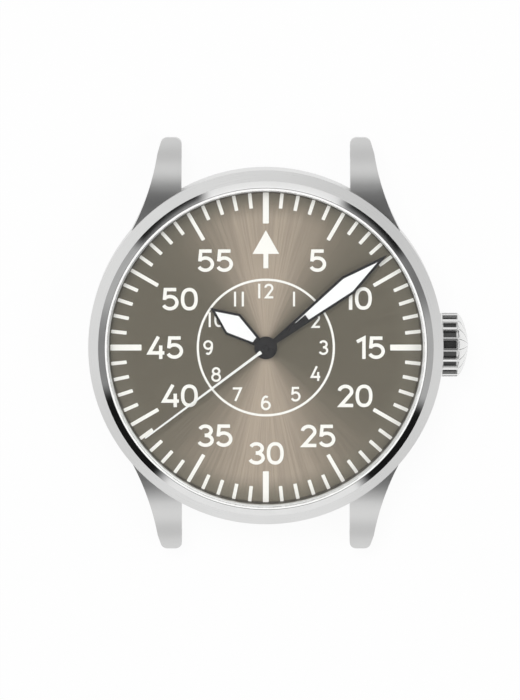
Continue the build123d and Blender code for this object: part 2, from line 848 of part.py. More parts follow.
with BuildPart() as third_wheel:
    prism(moved(wheel_points(third_teeth, fourth_pinion_module, third_phase), third_centre),
          third_z, wheel_thickness)
    windows(
        third_centre, wheel_hub_radius, third_wheel_radius - wheel_rim, spoke_count, spoke_width,
        third_z, wheel_thickness,
    )
    prism(
        moved(pinion_points(third_leaves, third_pinion_module, third_pinion_phase), third_centre),
        third_z + wheel_thickness,
        centre_z + pinion_overlap - third_z,
    )
    disc(third_centre, arbor_radius, plate_z - arbor_depth, ceiling_z + arbor_depth)
third_wheel.part.label = "third_wheel"
export_step(third_wheel.part, "parts/third_wheel.step")

with BuildPart() as fourth_wheel:
    prism(wheel_points(fourth_teeth, escape_pinion_module, fourth_phase), fourth_z, wheel_thickness)
    windows(
        (0, 0), wheel_hub_radius, fourth_wheel_radius - wheel_rim, spoke_count, spoke_width,
        fourth_z, wheel_thickness,
    )
    fourth_pinion_z = fourth_z + wheel_thickness
    prism(
        pinion_points(fourth_leaves, fourth_pinion_module, fourth_pinion_phase),
        fourth_pinion_z,
        fourth_pinion_top_z - fourth_pinion_z,
    )
    disc((0, 0), second_arbor_radius, plate_z - arbor_depth, second_hand_z + hand_thickness)
fourth_wheel.part.label = "fourth_wheel"
export_step(fourth_wheel.part, "parts/fourth_wheel.step")

with BuildPart() as escape_wheel:
    tooth_step = 360 / escape_teeth
    escape_points = []
    for tooth in range(escape_teeth):
        escape_points.append(polar(escape_radius, tooth * tooth_step))
        escape_points.append(polar(escape_root_radius, (tooth + escape_heel_share) * tooth_step))
        escape_points.append(polar(escape_root_radius, (tooth + escape_toe_share) * tooth_step))
    prism(moved(escape_points, escape_centre), escape_z, wheel_thickness)
    windows(
        escape_centre, escape_hub_radius, escape_window_radius, spoke_count, spoke_width / 2,
        escape_z, wheel_thickness,
    )
    prism(
        moved(pinion_points(escape_leaves, escape_pinion_module, escape_pinion_phase), escape_centre),
        fourth_z - pinion_overlap,
        escape_z - fourth_z + pinion_overlap,
    )
    disc(escape_centre, arbor_radius, plate_z - arbor_depth, ceiling_z + arbor_depth)
escape_wheel.part.label = "escape_wheel"
export_step(escape_wheel.part, "parts/escape_wheel.step")

# Pallet fork with its two stones, and the balance

with BuildPart() as pallet_fork:
    fork_tip = polar(pallet_to_balance - fork_reach_gap, balance_direction, pallet_centre)
    fork_root = polar(pallet_to_balance - fork_reach_gap - fork_length, balance_direction, pallet_centre)
    slot_root = polar(
        pallet_to_balance - fork_reach_gap - fork_slot_depth, balance_direction, pallet_centre
    )
    prism(strip_points(pallet_centre, fork_root, pallet_arm_width), escape_z, pallet_thickness)
    prism(strip_points(fork_root, fork_tip, fork_width), escape_z, pallet_thickness)
    prism(strip_points(slot_root, fork_tip, fork_slot_width), escape_z, pallet_thickness, Mode.SUBTRACT)
    for side in (-1, 1):
        stone_direction = pallet_direction + side * pallet_span_deg / 2
        stone_heel = polar(escape_radius + stone_gap + stone_length, stone_direction, escape_centre)
        stone_shoulder = polar(
            escape_radius + stone_gap + stone_length / 2, stone_direction, escape_centre
        )
        holder_end = polar(pallet_arm_width / 2, stone_direction, stone_heel)
        prism(strip_points(pallet_centre, stone_heel, pallet_arm_width), escape_z, pallet_thickness)
        prism(
            strip_points(stone_shoulder, holder_end, pallet_arm_width), escape_z, pallet_thickness
        )
        prism(
            strip_points(stone_shoulder, stone_heel, stone_width), escape_z,
            pallet_thickness, Mode.SUBTRACT,
        )
    disc(pallet_centre, arbor_radius, plate_z - arbor_depth, ceiling_z + arbor_depth)
pallet_fork.part.label = "pallet_fork"
export_step(pallet_fork.part, "parts/pallet_fork.step")

with BuildPart() as pallet_stones:
    for side in (-1, 1):
        stone_direction = pallet_direction + side * pallet_span_deg / 2
        stone_face = polar(escape_radius + stone_gap, stone_direction, escape_centre)
        stone_heel = polar(escape_radius + stone_gap + stone_length, stone_direction, escape_centre)
        prism(strip_points(stone_face, stone_heel, stone_width), escape_z, pallet_thickness)
pallet_stones.part.label = "pallet_stones"
export_step(pallet_stones.part, "parts/pallet_stones.step")

with BuildPart() as balance_wheel:
    collet_radius = hairspring_radius - hairspring_thickness / 2 - running_gap
    balance_top_z = balance_z + balance_thickness
    disc(balance_centre, balance_radius, balance_z, balance_top_z)
    disc(balance_centre, balance_radius - balance_rim, balance_z, balance_top_z, Mode.SUBTRACT)
    arm_reach = balance_radius - balance_rim / 2
    for arm in range(2):
        arm_direction = balance_bearing + 90 * arm
        prism(
            strip_points(
                polar(arm_reach, arm_direction, balance_centre),
                polar(-arm_reach, arm_direction, balance_centre),
                balance_arm_width,
            ),
            balance_z,
            balance_thickness / 2,
        )
    disc(balance_centre, roller_radius, balance_z, balance_top_z + roller_thickness)
    disc(
        polar(-impulse_offset, balance_direction, balance_centre),
        impulse_radius,
        balance_top_z + roller_thickness,
        escape_z - impulse_gap,
    )
    disc(balance_centre, arbor_radius, plate_z - arbor_depth, ceiling_z + arbor_depth)
    disc(balance_centre, collet_radius, fourth_z, fourth_z + hairspring_height)
balance_wheel.part.label = "balance_wheel"
export_step(balance_wheel.part, "parts/balance_wheel.step")

with BuildPart() as hairspring:
    spiral(
        balance_centre,
        balance_bearing,
        fourth_z,
        hairspring_radius,
        hairspring_pitch,
        hairspring_turns,
        hairspring_thickness,
        hairspring_height,
    )
hairspring.part.label = "hairspring"
export_step(hairspring.part, "parts/hairspring.step")

hairspring_end = hairspring_radius + hairspring_turns * hairspring_pitch

# Main plate and bridges

with BuildPart() as main_plate:
    disc((0, 0), movement_radius, plate_z, motion_floor_z)
    disc((0, 0), plate_wall_radius, plate_z, ceiling_z, Mode.SUBTRACT)
    block_base_z = stem_z - stem_pilot_radius - pilot_block_depth / 2
    prism(
        strip_points((stem_pilot_x, 0), (block_end_x, 0), 2 * pilot_block_half_width),
        block_base_z,
        ceiling_z - block_base_z,
    )
    rod(stem_pilot_radius + running_gap, stem_pilot_x, block_end_x, Mode.SUBTRACT)
    rod(stem_radius + running_gap, plate_wall_radius - overrun, movement_radius, Mode.SUBTRACT)
    pocket_half_width = winding_tip_radius + keyless_gap
    prism(
        strip_points((keyless_x, 0), (keyless_end_x, 0), 2 * pocket_half_width),
        ceiling_z,
        stem_z + winding_tip_radius + keyless_gap - ceiling_z,
        Mode.SUBTRACT,
    )
    disc((0, 0), centre_pipe_radius + running_gap, ceiling_z, motion_floor_z, Mode.SUBTRACT)
    for pivot in (third_centre, escape_centre, pallet_centre, balance_centre):
        disc(pivot, arbor_radius + running_gap, ceiling_z, ceiling_z + arbor_depth, Mode.SUBTRACT)
    disc(
        barrel_centre, barrel_arbor_radius + running_gap, ceiling_z, ceiling_z + arbor_depth,
        Mode.SUBTRACT,
    )
    disc(minute_wheel_centre, post_radius, motion_floor_z, hour_wheel_z + motion_thickness)
    disc(setting_centre, post_radius, motion_floor_z, hour_wheel_z + motion_thickness)
    for foot_deg in dial_foot_degs:
        disc(
            polar(dial_foot_offset, foot_deg), dial_foot_radius + running_gap,
            dial_z - dial_foot_length - seat_gap, motion_floor_z, Mode.SUBTRACT,
        )
main_plate.part.label = "main_plate"
export_step(main_plate.part, "parts/main_plate.step")


def bridge_region(far, near_offset, direction):
    """The corners of the half plane beyond a chord across the movement."""
    near_left = polar(near_offset, direction, polar(far, direction + 90))
    near_right = polar(near_offset, direction, polar(far, direction - 90))
    far_right = polar(far, direction, near_right)
    far_left = polar(far, direction, near_left)
    return [near_left, near_right, far_right, far_left]


bridge_far = 2 * movement_radius

with BuildPart() as barrel_bridge:
    disc((0, 0), bridge_radius, bridge_z, plate_z)
    prism(
        bridge_region(bridge_far, barrel_bridge_offset, barrel_bridge_deg),
        bridge_z, bridge_thickness, Mode.INTERSECT,
    )
    slot_start = winding_pinion_x - keyless_gap
    slot_end = winding_pinion_end_x + keyless_gap
    prism(
        strip_points((slot_start, 0), (slot_end, 0), 2 * winding_root_radius + 2 * keyless_gap),
        bridge_z, bridge_thickness, Mode.SUBTRACT,
    )
    disc(barrel_centre, barrel_arbor_radius + running_gap, bridge_z, plate_z, Mode.SUBTRACT)
barrel_bridge.part.label = "barrel_bridge"
export_step(barrel_bridge.part, "parts/barrel_bridge.step")

cock_outer = polar(bridge_far, balance_bearing)

with BuildPart() as train_bridge:
    disc((0, 0), bridge_radius, bridge_z, plate_z)
    prism(
        bridge_region(bridge_far, barrel_bridge_offset - bridge_gap, barrel_bridge_deg),
        bridge_z, bridge_thickness, Mode.SUBTRACT,
    )
    disc(balance_centre, cock_opening_radius, bridge_z, plate_z, Mode.SUBTRACT)
    prism(
        strip_points(balance_centre, cock_outer, cock_width + 2 * bridge_gap),
        bridge_z, bridge_thickness, Mode.SUBTRACT,
    )
    disc((0, 0), second_arbor_radius + running_gap, plate_z - arbor_depth, plate_z, Mode.SUBTRACT)
    for pivot in (third_centre, escape_centre, pallet_centre):
        disc(pivot, arbor_radius + running_gap, plate_z - arbor_depth, plate_z, Mode.SUBTRACT)
train_bridge.part.label = "train_bridge"
export_step(train_bridge.part, "parts/train_bridge.step")

with BuildPart() as balance_cock:
    disc((0, 0), bridge_radius, bridge_z, plate_z)
    prism(
        strip_points(balance_centre, cock_outer, cock_width), bridge_z, bridge_thickness, Mode.INTERSECT
    )
    disc(balance_centre, cock_width / 2, bridge_z, plate_z)
    disc(balance_centre, arbor_radius + running_gap, plate_z - arbor_depth, plate_z, Mode.SUBTRACT)
    stud_middle = polar(hairspring_end, balance_bearing, balance_centre)
    stud_start = polar(stud_width, balance_bearing - 90, stud_middle)
    prism(
        strip_points(stud_start, stud_middle, stud_width),
        plate_z,
        fourth_z + hairspring_height - plate_z,
    )
balance_cock.part.label = "balance_cock"
export_step(balance_cock.part, "parts/balance_cock.step")

# Motion work: cannon pinion, minute, hour and setting wheels

cannon_z = motion_floor_z + running_gap
cannon_leaf_top_z = minute_wheel_z + motion_thickness + running_gap

with BuildPart() as cannon_pinion:
    prism(
        pinion_points(cannon_leaves, cannon_module, cannon_phase),
        cannon_z, cannon_leaf_top_z - cannon_z,
    )
    disc((0, 0), cannon_pipe_radius, cannon_leaf_top_z, minute_hand_z + hand_thickness)
    disc(
        (0, 0), centre_pipe_radius + pipe_gap, cannon_z, minute_hand_z + hand_thickness, Mode.SUBTRACT
    )
cannon_pinion.part.label = "cannon_pinion"
export_step(cannon_pinion.part, "parts/cannon_pinion.step")

with BuildPart() as minute_wheel:
    prism(
        moved(wheel_points(minute_teeth, cannon_module, minute_phase), minute_wheel_centre),
        minute_wheel_z, motion_thickness,
    )
    prism(
        moved(pinion_points(minute_leaves, hour_module, minute_pinion_phase), minute_wheel_centre),
        minute_wheel_z + motion_thickness,
        hour_wheel_z - minute_wheel_z,
    )
    disc(
        minute_wheel_centre, post_radius + running_gap,
        minute_wheel_z, hour_wheel_z + motion_thickness, Mode.SUBTRACT,
    )
minute_wheel.part.label = "minute_wheel"
export_step(minute_wheel.part, "parts/minute_wheel.step")

with BuildPart() as setting_wheel:
    prism(
        moved(wheel_points(setting_teeth, cannon_module, setting_phase), setting_centre),
        minute_wheel_z, motion_thickness,
    )
    disc(
        setting_centre, post_radius + running_gap,
        minute_wheel_z, minute_wheel_z + motion_thickness, Mode.SUBTRACT,
    )
setting_wheel.part.label = "setting_wheel"
export_step(setting_wheel.part, "parts/setting_wheel.step")

with BuildPart() as hour_wheel:
    prism(wheel_points(hour_teeth, hour_module, hour_phase), hour_wheel_z, motion_thickness)
    disc((0, 0), hour_pipe_radius, hour_wheel_z, hour_hand_z + hand_thickness)
    disc(
        (0, 0), cannon_pipe_radius + pipe_gap, hour_wheel_z, hour_hand_z + hand_thickness,
        Mode.SUBTRACT,
    )
hour_wheel.part.label = "hour_wheel"
export_step(hour_wheel.part, "parts/hour_wheel.step")

# Hands, pointing to 12 o'clock in these outlines and then turned to the time

hour_shoulder_y = hour_hand_length - hour_point_length
minute_hand_length = dial_opening_radius - minute_hand_gap
minute_shoulder_y = minute_hand_length - minute_point_length
second_hand_length = dial_opening_radius - second_hand_gap

hour_outline = [
    (-hour_base_half_width, hour_base_y),
    (-hour_shoulder_half_width, hour_shoulder_y),
    (0, hour_hand_length),
    (hour_shoulder_half_width, hour_shoulder_y),
    (hour_base_half_width, hour_base_y),
]
minute_outline = [
    (-minute_base_half_width, minute_base_y),
    (-minute_shoulder_half_width, minute_shoulder_y),
    (0, minute_hand_length),
    (minute_shoulder_half_width, minute_shoulder_y),
    (minute_base_half_width, minute_base_y),
]


def lume_window(outline, start_y, border):
    """The window of a hand: its outline drawn in by the border, from a start height to the tip."""
    base_x, base_y = outline[4]
    shoulder_x, shoulder_y = outline[3]
    tip_y = outline[2][1]
    base_slope = (shoulder_x - base_x) / (shoulder_y - base_y)
    tip_slope = shoulder_x / (tip_y - shoulder_y)
    start_x = base_x + base_slope * (start_y - base_y) - border
    top_y = tip_y - border * hypot(1, tip_slope) / tip_slope
    side_x = shoulder_x - border
    return [
        (-start_x, start_y),
        (-side_x, shoulder_y),
        (0, top_y),
        (side_x, shoulder_y),
        (start_x, start_y),
    ]


hour_window = lume_window(hour_outline, hour_hub_radius + hand_border, hand_border)
minute_window = lume_window(minute_outline, minute_lume_y, hand_border)

with BuildPart() as hour_hand:
    prism(turned(hour_outline, -hour_hand_deg), hour_hand_z, hand_thickness)
    disc((0, 0), hour_hub_radius, hour_hand_z, hour_hand_z + hand_thickness)
    disc((0, 0), hour_pipe_radius, hour_hand_z, hour_hand_z + hand_thickness, Mode.SUBTRACT)
    prism(turned(hour_window, -hour_hand_deg), hour_hand_z, hand_thickness, Mode.SUBTRACT)
hour_hand.part.label = "hour_hand"
export_step(hour_hand.part, "parts/hour_hand.step")

with BuildPart() as hour_lume:
    prism(turned(hour_window, -hour_hand_deg), hour_hand_z, hand_thickness + lume_rise)
hour_lume.part.label = "hour_lume"
export_step(hour_lume.part, "parts/hour_lume.step")

with BuildPart() as minute_hand:
    prism(turned(minute_outline, -minute_hand_deg), minute_hand_z, hand_thickness)
    disc((0, 0), minute_hub_radius, minute_hand_z, minute_hand_z + hand_thickness)
    disc((0, 0), cannon_pipe_radius, minute_hand_z, minute_hand_z + hand_thickness, Mode.SUBTRACT)
    prism(turned(minute_window, -minute_hand_deg), minute_hand_z, hand_thickness, Mode.SUBTRACT)
minute_hand.part.label = "minute_hand"
export_step(minute_hand.part, "parts/minute_hand.step")

with BuildPart() as minute_lume:
    prism(turned(minute_window, -minute_hand_deg), minute_hand_z, hand_thickness + lume_rise)
minute_lume.part.label = "minute_lume"
export_step(minute_lume.part, "parts/minute_lume.step")

with BuildPart() as second_hand:
    needle = [
        (-second_base_half_width, 0),
        (-second_tip_half_width, second_hand_length),
        (second_tip_half_width, second_hand_length),
        (second_base_half_width, 0),
    ]
    tail = [
        (-second_neck_half_width, 0),
        (-second_neck_half_width, -second_neck_y),
        (-second_tail_half_width, -second_tail_length),
        (second_tail_half_width, -second_tail_length),
        (second_neck_half_width, -second_neck_y),
        (second_neck_half_width, 0),
    ]
    prism(turned(needle, -second_hand_deg), second_hand_z, hand_thickness)
    prism(turned(tail, -second_hand_deg), second_hand_z, hand_thickness)
    disc((0, 0), second_hub_radius, second_hand_z, second_hand_z + hand_thickness)
    disc((0, 0), second_neck_half_width + pipe_gap, second_hand_z - boss_height, second_hand_z)
    disc(
        (0, 0), second_arbor_radius, second_hand_z - boss_height, second_hand_z + hand_thickness,
        Mode.SUBTRACT,
    )
second_hand.part.label = "second_hand"
export_step(second_hand.part, "parts/second_hand.step")

# Dial and movement ring

dial_radius = case_bore_radius - dial_edge_gap
dial_hole_radius = hour_pipe_radius + dial_hole_gap

with BuildPart() as dial:
    disc((0, 0), dial_radius, dial_z, dial_top_z)
    for foot_deg in dial_foot_degs:
        disc(polar(dial_foot_offset, foot_deg), dial_foot_radius, dial_z - dial_foot_length, dial_z)
    disc((0, 0), dial_hole_radius, dial_z, dial_top_z, Mode.SUBTRACT)
dial.part.label = "dial"
export_step(dial.part, "parts/dial.step")

with BuildPart() as movement_ring:
    ring_z = back_skirt_top_z + back_gasket_height
    disc((0, 0), dial_radius, ring_z, dial_z)
    disc((0, 0), movement_radius + ring_fit, ring_z, dial_z, Mode.SUBTRACT)
    with BuildSketch(stem_plane(movement_radius)):
        Rectangle(stem_slot_width, 2 * (stem_z - ring_z))
    extrude(amount=dial_radius - movement_radius + overrun, mode=Mode.SUBTRACT)
movement_ring.part.label = "movement_ring"
export_step(movement_ring.part, "parts/movement_ring.step")
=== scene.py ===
import math

import bpy
from bpy.props import FloatProperty, FloatVectorProperty, IntProperty, PointerProperty
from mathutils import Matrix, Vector


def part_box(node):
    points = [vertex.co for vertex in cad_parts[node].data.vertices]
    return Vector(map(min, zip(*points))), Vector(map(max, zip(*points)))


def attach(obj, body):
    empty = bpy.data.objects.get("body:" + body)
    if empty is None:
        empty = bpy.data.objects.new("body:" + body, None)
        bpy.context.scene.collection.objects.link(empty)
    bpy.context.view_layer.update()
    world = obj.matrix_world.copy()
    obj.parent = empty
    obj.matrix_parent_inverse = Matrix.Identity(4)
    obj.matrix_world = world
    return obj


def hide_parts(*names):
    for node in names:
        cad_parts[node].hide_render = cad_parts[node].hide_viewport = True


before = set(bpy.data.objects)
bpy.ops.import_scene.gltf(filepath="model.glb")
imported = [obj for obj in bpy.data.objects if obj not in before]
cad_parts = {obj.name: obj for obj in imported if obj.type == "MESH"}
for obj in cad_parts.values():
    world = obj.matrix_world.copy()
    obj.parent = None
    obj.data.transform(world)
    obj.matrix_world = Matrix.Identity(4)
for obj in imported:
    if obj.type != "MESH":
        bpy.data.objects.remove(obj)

bl_info = {
    "name": "Pilot watch finish",
    "version": (1, 0, 0),
    "blender": (4, 5, 0),
    "location": "3D View > Sidebar > Pilot Watch",
    "description": "Gives a pilot watch its steel, dial printing, hands, crown and movement finishes",
    "category": "Object",
}

MM = 0.001
DIAL_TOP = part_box("dial")[1].z
CROWN_LOW, CROWN_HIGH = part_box("crown")
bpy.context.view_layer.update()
# Turn of the crown's first rib from +Y, in ribs
FIRST_RIB = 0.73
HAND_BLACK = (0.012, 0.011, 0.012)


# Sizes and colours that a user would change

def length(name, description, default_mm, low_mm=0.0):
    """A size in metres, given here in millimetres."""
    return FloatProperty(
        name=name, description=description, default=default_mm * MM, min=low_mm * MM,
        subtype="DISTANCE", unit="LENGTH", precision=5,
    )


def incline(name, description, default_deg):
    """An angle in radians, given here in degrees."""
    return FloatProperty(
        name=name, description=description, default=math.radians(default_deg),
        subtype="ANGLE", unit="ROTATION",
    )


def tint(name, description, default):
    """A linear colour."""
    return FloatVectorProperty(
        name=name, description=description, default=default, size=3, min=0.0, max=1.0, subtype="COLOR",
    )


class DialSizes(bpy.types.PropertyGroup):
    """The printing on the dial."""
    print_height: length("Print height", "How far the printing stands above the lacquer", 0.03)
    track_radius: length("Track radius", "Outer end of the minute track", 18.38)
    corner: length("Corner", "Rounding of the printed bars", 0.07)
    minutes: IntProperty(name="Minutes", description="Marks round the minute track", default=60, min=12)
    minute_length: length("Minute mark length", "Length of a plain minute mark", 1.83)
    minute_width: length("Minute mark width", "Width of a plain minute mark", 0.42)
    five_length: length("Five minute mark length", "Length of a mark at every fifth minute", 3.68)
    five_width: length("Five minute mark width", "Width of a mark at every fifth minute", 0.45)
    quarter_width: length("Quarter mark width", "Width of the marks at the quarters", 0.7)
    arrow_tip: length("Arrow tip", "Distance of the arrow's tip from the centre", 13.9)
    arrow_base: length("Arrow base", "Distance of the arrow head's base from the centre", 11.1)
    arrow_half_width: length("Arrow half width", "Half the width of the arrow head", 1.57)
    arrow_tail: length("Arrow tail", "Distance of the arrow's tail from the centre", 9.4)
    arrow_stem: length("Arrow stem", "Width of the arrow's stem", 0.58)
    minute_figure_height: length("Minute figure height", "Height of the outer figures", 2.68)
    minute_figure_width: length("Minute figure width", "Width of one outer figure", 2.0)
    minute_figure_stroke: length("Minute figure stroke", "Stroke of the outer figures", 0.41)
    hour_figure_height: length("Hour figure height", "Height of the inner figures", 1.75)
    hour_figure_width: length("Hour figure width", "Width of one inner figure", 1.16)
    hour_figure_stroke: length("Hour figure stroke", "Stroke of the inner figures", 0.255)
    cap_radius: length("Cap radius", "Radius of the cap on the second hand's hub", 0.42)
    cap_rise: length("Cap rise", "Height of the cap on the second hand's hub", 0.14)
    ring_radius: length("Ring radius", "Middle of the ring round the hours", 8.04)
    ring_width: length("Ring width", "Width of the ring round the hours", 0.27)


class CaseSizes(bpy.types.PropertyGroup):
    """The polished bezel ring."""
    bezel_lip: length("Bezel lip", "Flat width of the bezel beside the crystal seal", 0.05)
    bezel_drop: length("Bezel drop", "Fall of the bezel's slope to its wall", 0.53)
    crystal_edge: length("Crystal edge", "Bevel round the crystal", 0.02)
    bezel_inner_tilt: incline("Bezel inner tilt", "Slope of the bezel beside its lip", 34.5)


class CrownSizes(bpy.types.PropertyGroup):
    """The fluted crown and its petalled cap."""
    ribs: IntProperty(name="Ribs", description="Ribs round the crown", default=18, min=6)
    collar: length("Collar", "Plain collar between the case and the ribs", 0.28)
    flute_depth: length("Flute depth", "Depth of the gaps between the ribs", 0.5)
    flute_length: length("Flute length", "Length of the gaps between the ribs", 1.75)
    petal_depth: length("Petal depth", "Depth of the lines that part the petals of the cap", 0.12)
    well_radius: length("Well radius", "Radius of the well that takes the tube", 1.7)
    well_depth: length("Well depth", "Depth of the well that takes the tube", 1.55)


class MovementSizes(bpy.types.PropertyGroup):
    """The jewels and screws in the bridges."""
    jewel_radius: length("Jewel radius", "Radius of a jewel", 0.5)
    jewel_hole: length("Jewel hole", "Radius of the hole for the pivot", 0.09)
    jewel_rise: length("Jewel rise", "How far a jewel stands out of its bridge", 0.05)
    screw_radius: length("Screw radius", "Radius of a screw's head", 0.62)
    screw_rise: length("Screw rise", "Height of a screw's head", 0.24)
    slot_width: length("Slot width", "Width of the slot in a screw's head", 0.16)
    slot_depth: length("Slot depth", "Depth of the slot in a screw's head", 0.11)
    sink: length("Sink", "How far both reach into the bridge", 0.02)


class Colours(bpy.types.PropertyGroup):
    """The colours of the watch."""
    # The bright fans' colour is painted highlight: reflected light painted into the lacquer
    dial_painted_highlight: tint("Dial light", "Taupe lacquer in the bright fans", (0.457, 0.377, 0.297))
    dial_dark: tint("Dial dark", "Taupe lacquer outside the fans", (0.144, 0.1265, 0.0925))
    dial_rim: tint("Dial rim", "Taupe lacquer at the dial's edge", (0.178, 0.16, 0.121))
    ink: tint("Printing", "Ivory printing of the dial", (0.975, 0.955, 0.905))
    lume: tint("Lume", "White lume of the hands", (0.99, 0.99, 0.98))
    steel: tint("Steel", "Stainless steel", (0.72, 0.72, 0.715))
    seal: tint("Seal", "White seal under the crystal", (0.98, 0.98, 0.97))
    brass: tint("Brass", "Gilt brass of the wheels", (0.72, 0.52, 0.22))
    nickel: tint("Nickel", "Nickel plate of the movement", (0.64, 0.63, 0.60))
    ruby: tint("Ruby", "Red synthetic stone", (0.50, 0.01, 0.05))
    blued: tint("Blued steel", "Blued spring and screws", (0.05, 0.08, 0.30))


class Studio(bpy.types.PropertyGroup):
    """The floor, lamps and camera."""
    floor_width: length("Floor width", "Side of the square floor", 900)
    camera_height: length("Camera height", "Height of the camera above the dial", 900)
    view_height: length("View height", "What the photograph's height takes in at the dial", 82.8)
    aim_x: length("Aim X", "Camera's place along X", -0.69, low_mm=-50)
    aim_y: length("Aim Y", "Camera's place along Y", -0.33, low_mm=-50)
    camera_tilt: incline("Camera tilt", "Lean of the camera towards 12 o'clock", 5)


class WatchSettings(bpy.types.PropertyGroup):
    """All settings of the watch."""
    dial: PointerProperty(type=DialSizes)
    case: PointerProperty(type=CaseSizes)
    crown: PointerProperty(type=CrownSizes)
    movement: PointerProperty(type=MovementSizes)
    colours: PointerProperty(type=Colours)
    studio: PointerProperty(type=Studio)


# Node trees, and shader maths as Python expressions

class Graph:
    """A node tree that is built node by node."""

    def __init__(self, tree):
        self.tree = tree
        tree.nodes.clear()

    def add(self, kind, settings=None, sockets=None):
        """Adds a node of a type: its settings go first, then the values or links of its sockets."""
        node = self.tree.nodes.new(kind)
        for name, value in (settings or {}).items():
            setattr(node, name, value)
        for name, value in (sockets or {}).items():
            if isinstance(value, Wire):
                self.tree.links.new(value.socket, node.inputs[name])
            else:
                node.inputs[name].default_value = value
        return node

    def pick(self, kind, settings=None, sockets=None, output=0):
        """Adds a node and gives one of its outputs."""
        return Wire(self, self.add(kind, settings, sockets).outputs[output])

    def maths(self, operation, *values):
        return self.pick("ShaderNodeMath", {"operation": operation}, dict(enumerate(values)))

    def mix(self, factor, first, second):
        """Mixes two colours."""
        pair = {0: factor, 6: self.colour(first), 7: self.colour(second)}
        return self.pick("ShaderNodeMix", {"data_type": "RGBA"}, pair, 2)

    @staticmethod
    def colour(value):
        return value if isinstance(value, Wire) else (*value, 1.0)

    def between(self, value, low, high):
        """Rises smoothly from 0 at low to 1 at high."""
        sockets = {"Value": value, "From Min": low, "From Max": high}
        return self.pick("ShaderNodeMapRange", {"interpolation_type": "SMOOTHSTEP"}, sockets)

    def vector(self, x, y, z):
        return self.pick("ShaderNodeCombineXYZ", None, {0: x, 1: y, 2: z})

    def split(self, vector):
        node = self.add("ShaderNodeSeparateXYZ", None, {0: vector})
        return [Wire(self, output) for output in node.outputs]

    def rays(self, *kinds):
        """1 where light is traced by a ray of each of these kinds."""
        node = self.add("ShaderNodeLightPath")
        return [Wire(self, node.outputs[f"Is {kind} Ray"]) for kind in kinds]


def worked(operation):
    """A method of a wire that adds a Math node for one operation."""
    return lambda wire, *others: wire.graph.maths(operation, wire, *others)


class Wire:
    """An output of a node, so that sums and products are written as Python."""

    def __init__(self, graph, socket):
        self.graph, self.socket = graph, socket

    def __rsub__(self, other):
        return self.graph.maths("SUBTRACT", other, self)

    __add__ = __radd__ = worked("ADD")
    __sub__ = worked("SUBTRACT")
    __mul__ = __rmul__ = worked("MULTIPLY")
    __truediv__ = worked("DIVIDE")
    __pow__ = worked("POWER")
    __abs__ = worked("ABSOLUTE")


def scaled(colour, factor):
    """A colour, lighter or darker."""
    return tuple(min(1.0, c * factor) for c in colour)


class Finish(Graph):
    """A material of the watch."""

    def __init__(self, name):
        self.material = bpy.data.materials.new(name)
        self.material.use_nodes = True
        super().__init__(self.material.node_tree)

    def place(self, cell_mm=(1, 1, 1), centre_mm=(0, 0, 0), turn_deg=(0, 0, 0)):
        """Object coordinates from a centre, turned, and counted in cells of that size."""
        sockets = {
            "Vector": self.pick("ShaderNodeTexCoord", output="Object"),
            "Location": [c * MM for c in centre_mm],
            "Rotation": [math.radians(a) for a in turn_deg],
            "Scale": [c * MM for c in cell_mm],
        }
        return self.pick("ShaderNodeMapping", {"vector_type": "TEXTURE"}, sockets)

    def noise(self, vector, detail=2.0, rough=0.5):
        sockets = {"Vector": vector, "Scale": 1.0, "Detail": detail, "Roughness": rough}
        return self.pick("ShaderNodeTexNoise", None, sockets)

    def cloud(self, size_mm, detail=2.0, rough=0.5):
        """Spots of a size, alike in every direction."""
        return self.noise(self.place((size_mm,) * 3), detail, rough)

    def round_about(self, centre_mm=(0, 0, 0), axis="Z"):
        """Radius in mm, the two parts of the direction, and the place along the axis in mm."""
        x, y, z = self.split(self.place(centre_mm=centre_mm))
        across, up, along = {"Z": (x, y, z), "X": (y, z, x)}[axis]
        radius = (across * across + up * up) ** 0.5 + 1e-6
        return radius, across / radius, up / radius, along

    def bump(self, height, depth_mm):
        sockets = {"Height": height, "Distance": depth_mm * MM, "Strength": 1.0}
        return self.pick("ShaderNodeBump", None, sockets)

    def shades(self, factor, colour, dark, light):
        """Goes from a darker to a lighter shade of one colour."""
        return self.mix(factor, scaled(colour, dark), scaled(colour, light))

    def surface(self, sockets):
        """Ends the tree in one Principled shader."""
        sockets = {k: self.colour(v) if k == "Base Color" else v for k, v in sockets.items()}
        shader = self.add("ShaderNodeBsdfPrincipled", None, sockets)
        self.add("ShaderNodeOutputMaterial", None, {"Surface": Wire(self, shader.outputs[0])})
        return self.material

    def metal(self, shade, rough, height, depth_mm):
        """Ends the tree in bare metal."""
        return self.surface({
            "Base Color": shade, "Metallic": 1.0, "Roughness": rough, "Normal": self.bump(height, depth_mm),
        })


def brushed(name, colour, cell_mm, rough, depth=0.002):
    """Metal with a straight grain: long fine lines, a few deeper scratches and faint clouds."""
    f = Finish(name)
    grain = f.noise(f.place(cell_mm), 3.0, 0.6)
    scratch = f.between(f.noise(f.place([c * 2.5 for c in cell_mm]), 1.0), 0.66, 0.8)
    cloud = f.cloud(4)
    shade = f.shades(grain * 0.5 + cloud * 0.5, colour, 0.88, 1.1)
    rough = rough - 0.06 + grain * 0.1 + cloud * 0.04
    return f.metal(f.mix(scratch * 0.3, shade, scaled(colour, 0.8)), rough, grain + scratch * 0.5, depth)


def turned(name, colour, centre_mm=(0, 0, 0), axis="Z", pitch_mm=0.05, rough=0.3):
    """Metal with a grain that runs round an axis, as from a lathe or a turning brush."""
    f = Finish(name)
    radius, across, up, along = f.round_about(centre_mm, axis)
    grain = f.noise(f.vector(radius / pitch_mm, across * 2.0, up * 2.0 + along / pitch_mm), 2.0, 0.6)
    shade = f.shades(grain * 0.6 + f.cloud(3) * 0.4, colour, 0.86, 1.12)
    return f.metal(shade, rough - 0.05 + grain * 0.1, grain, 0.002)


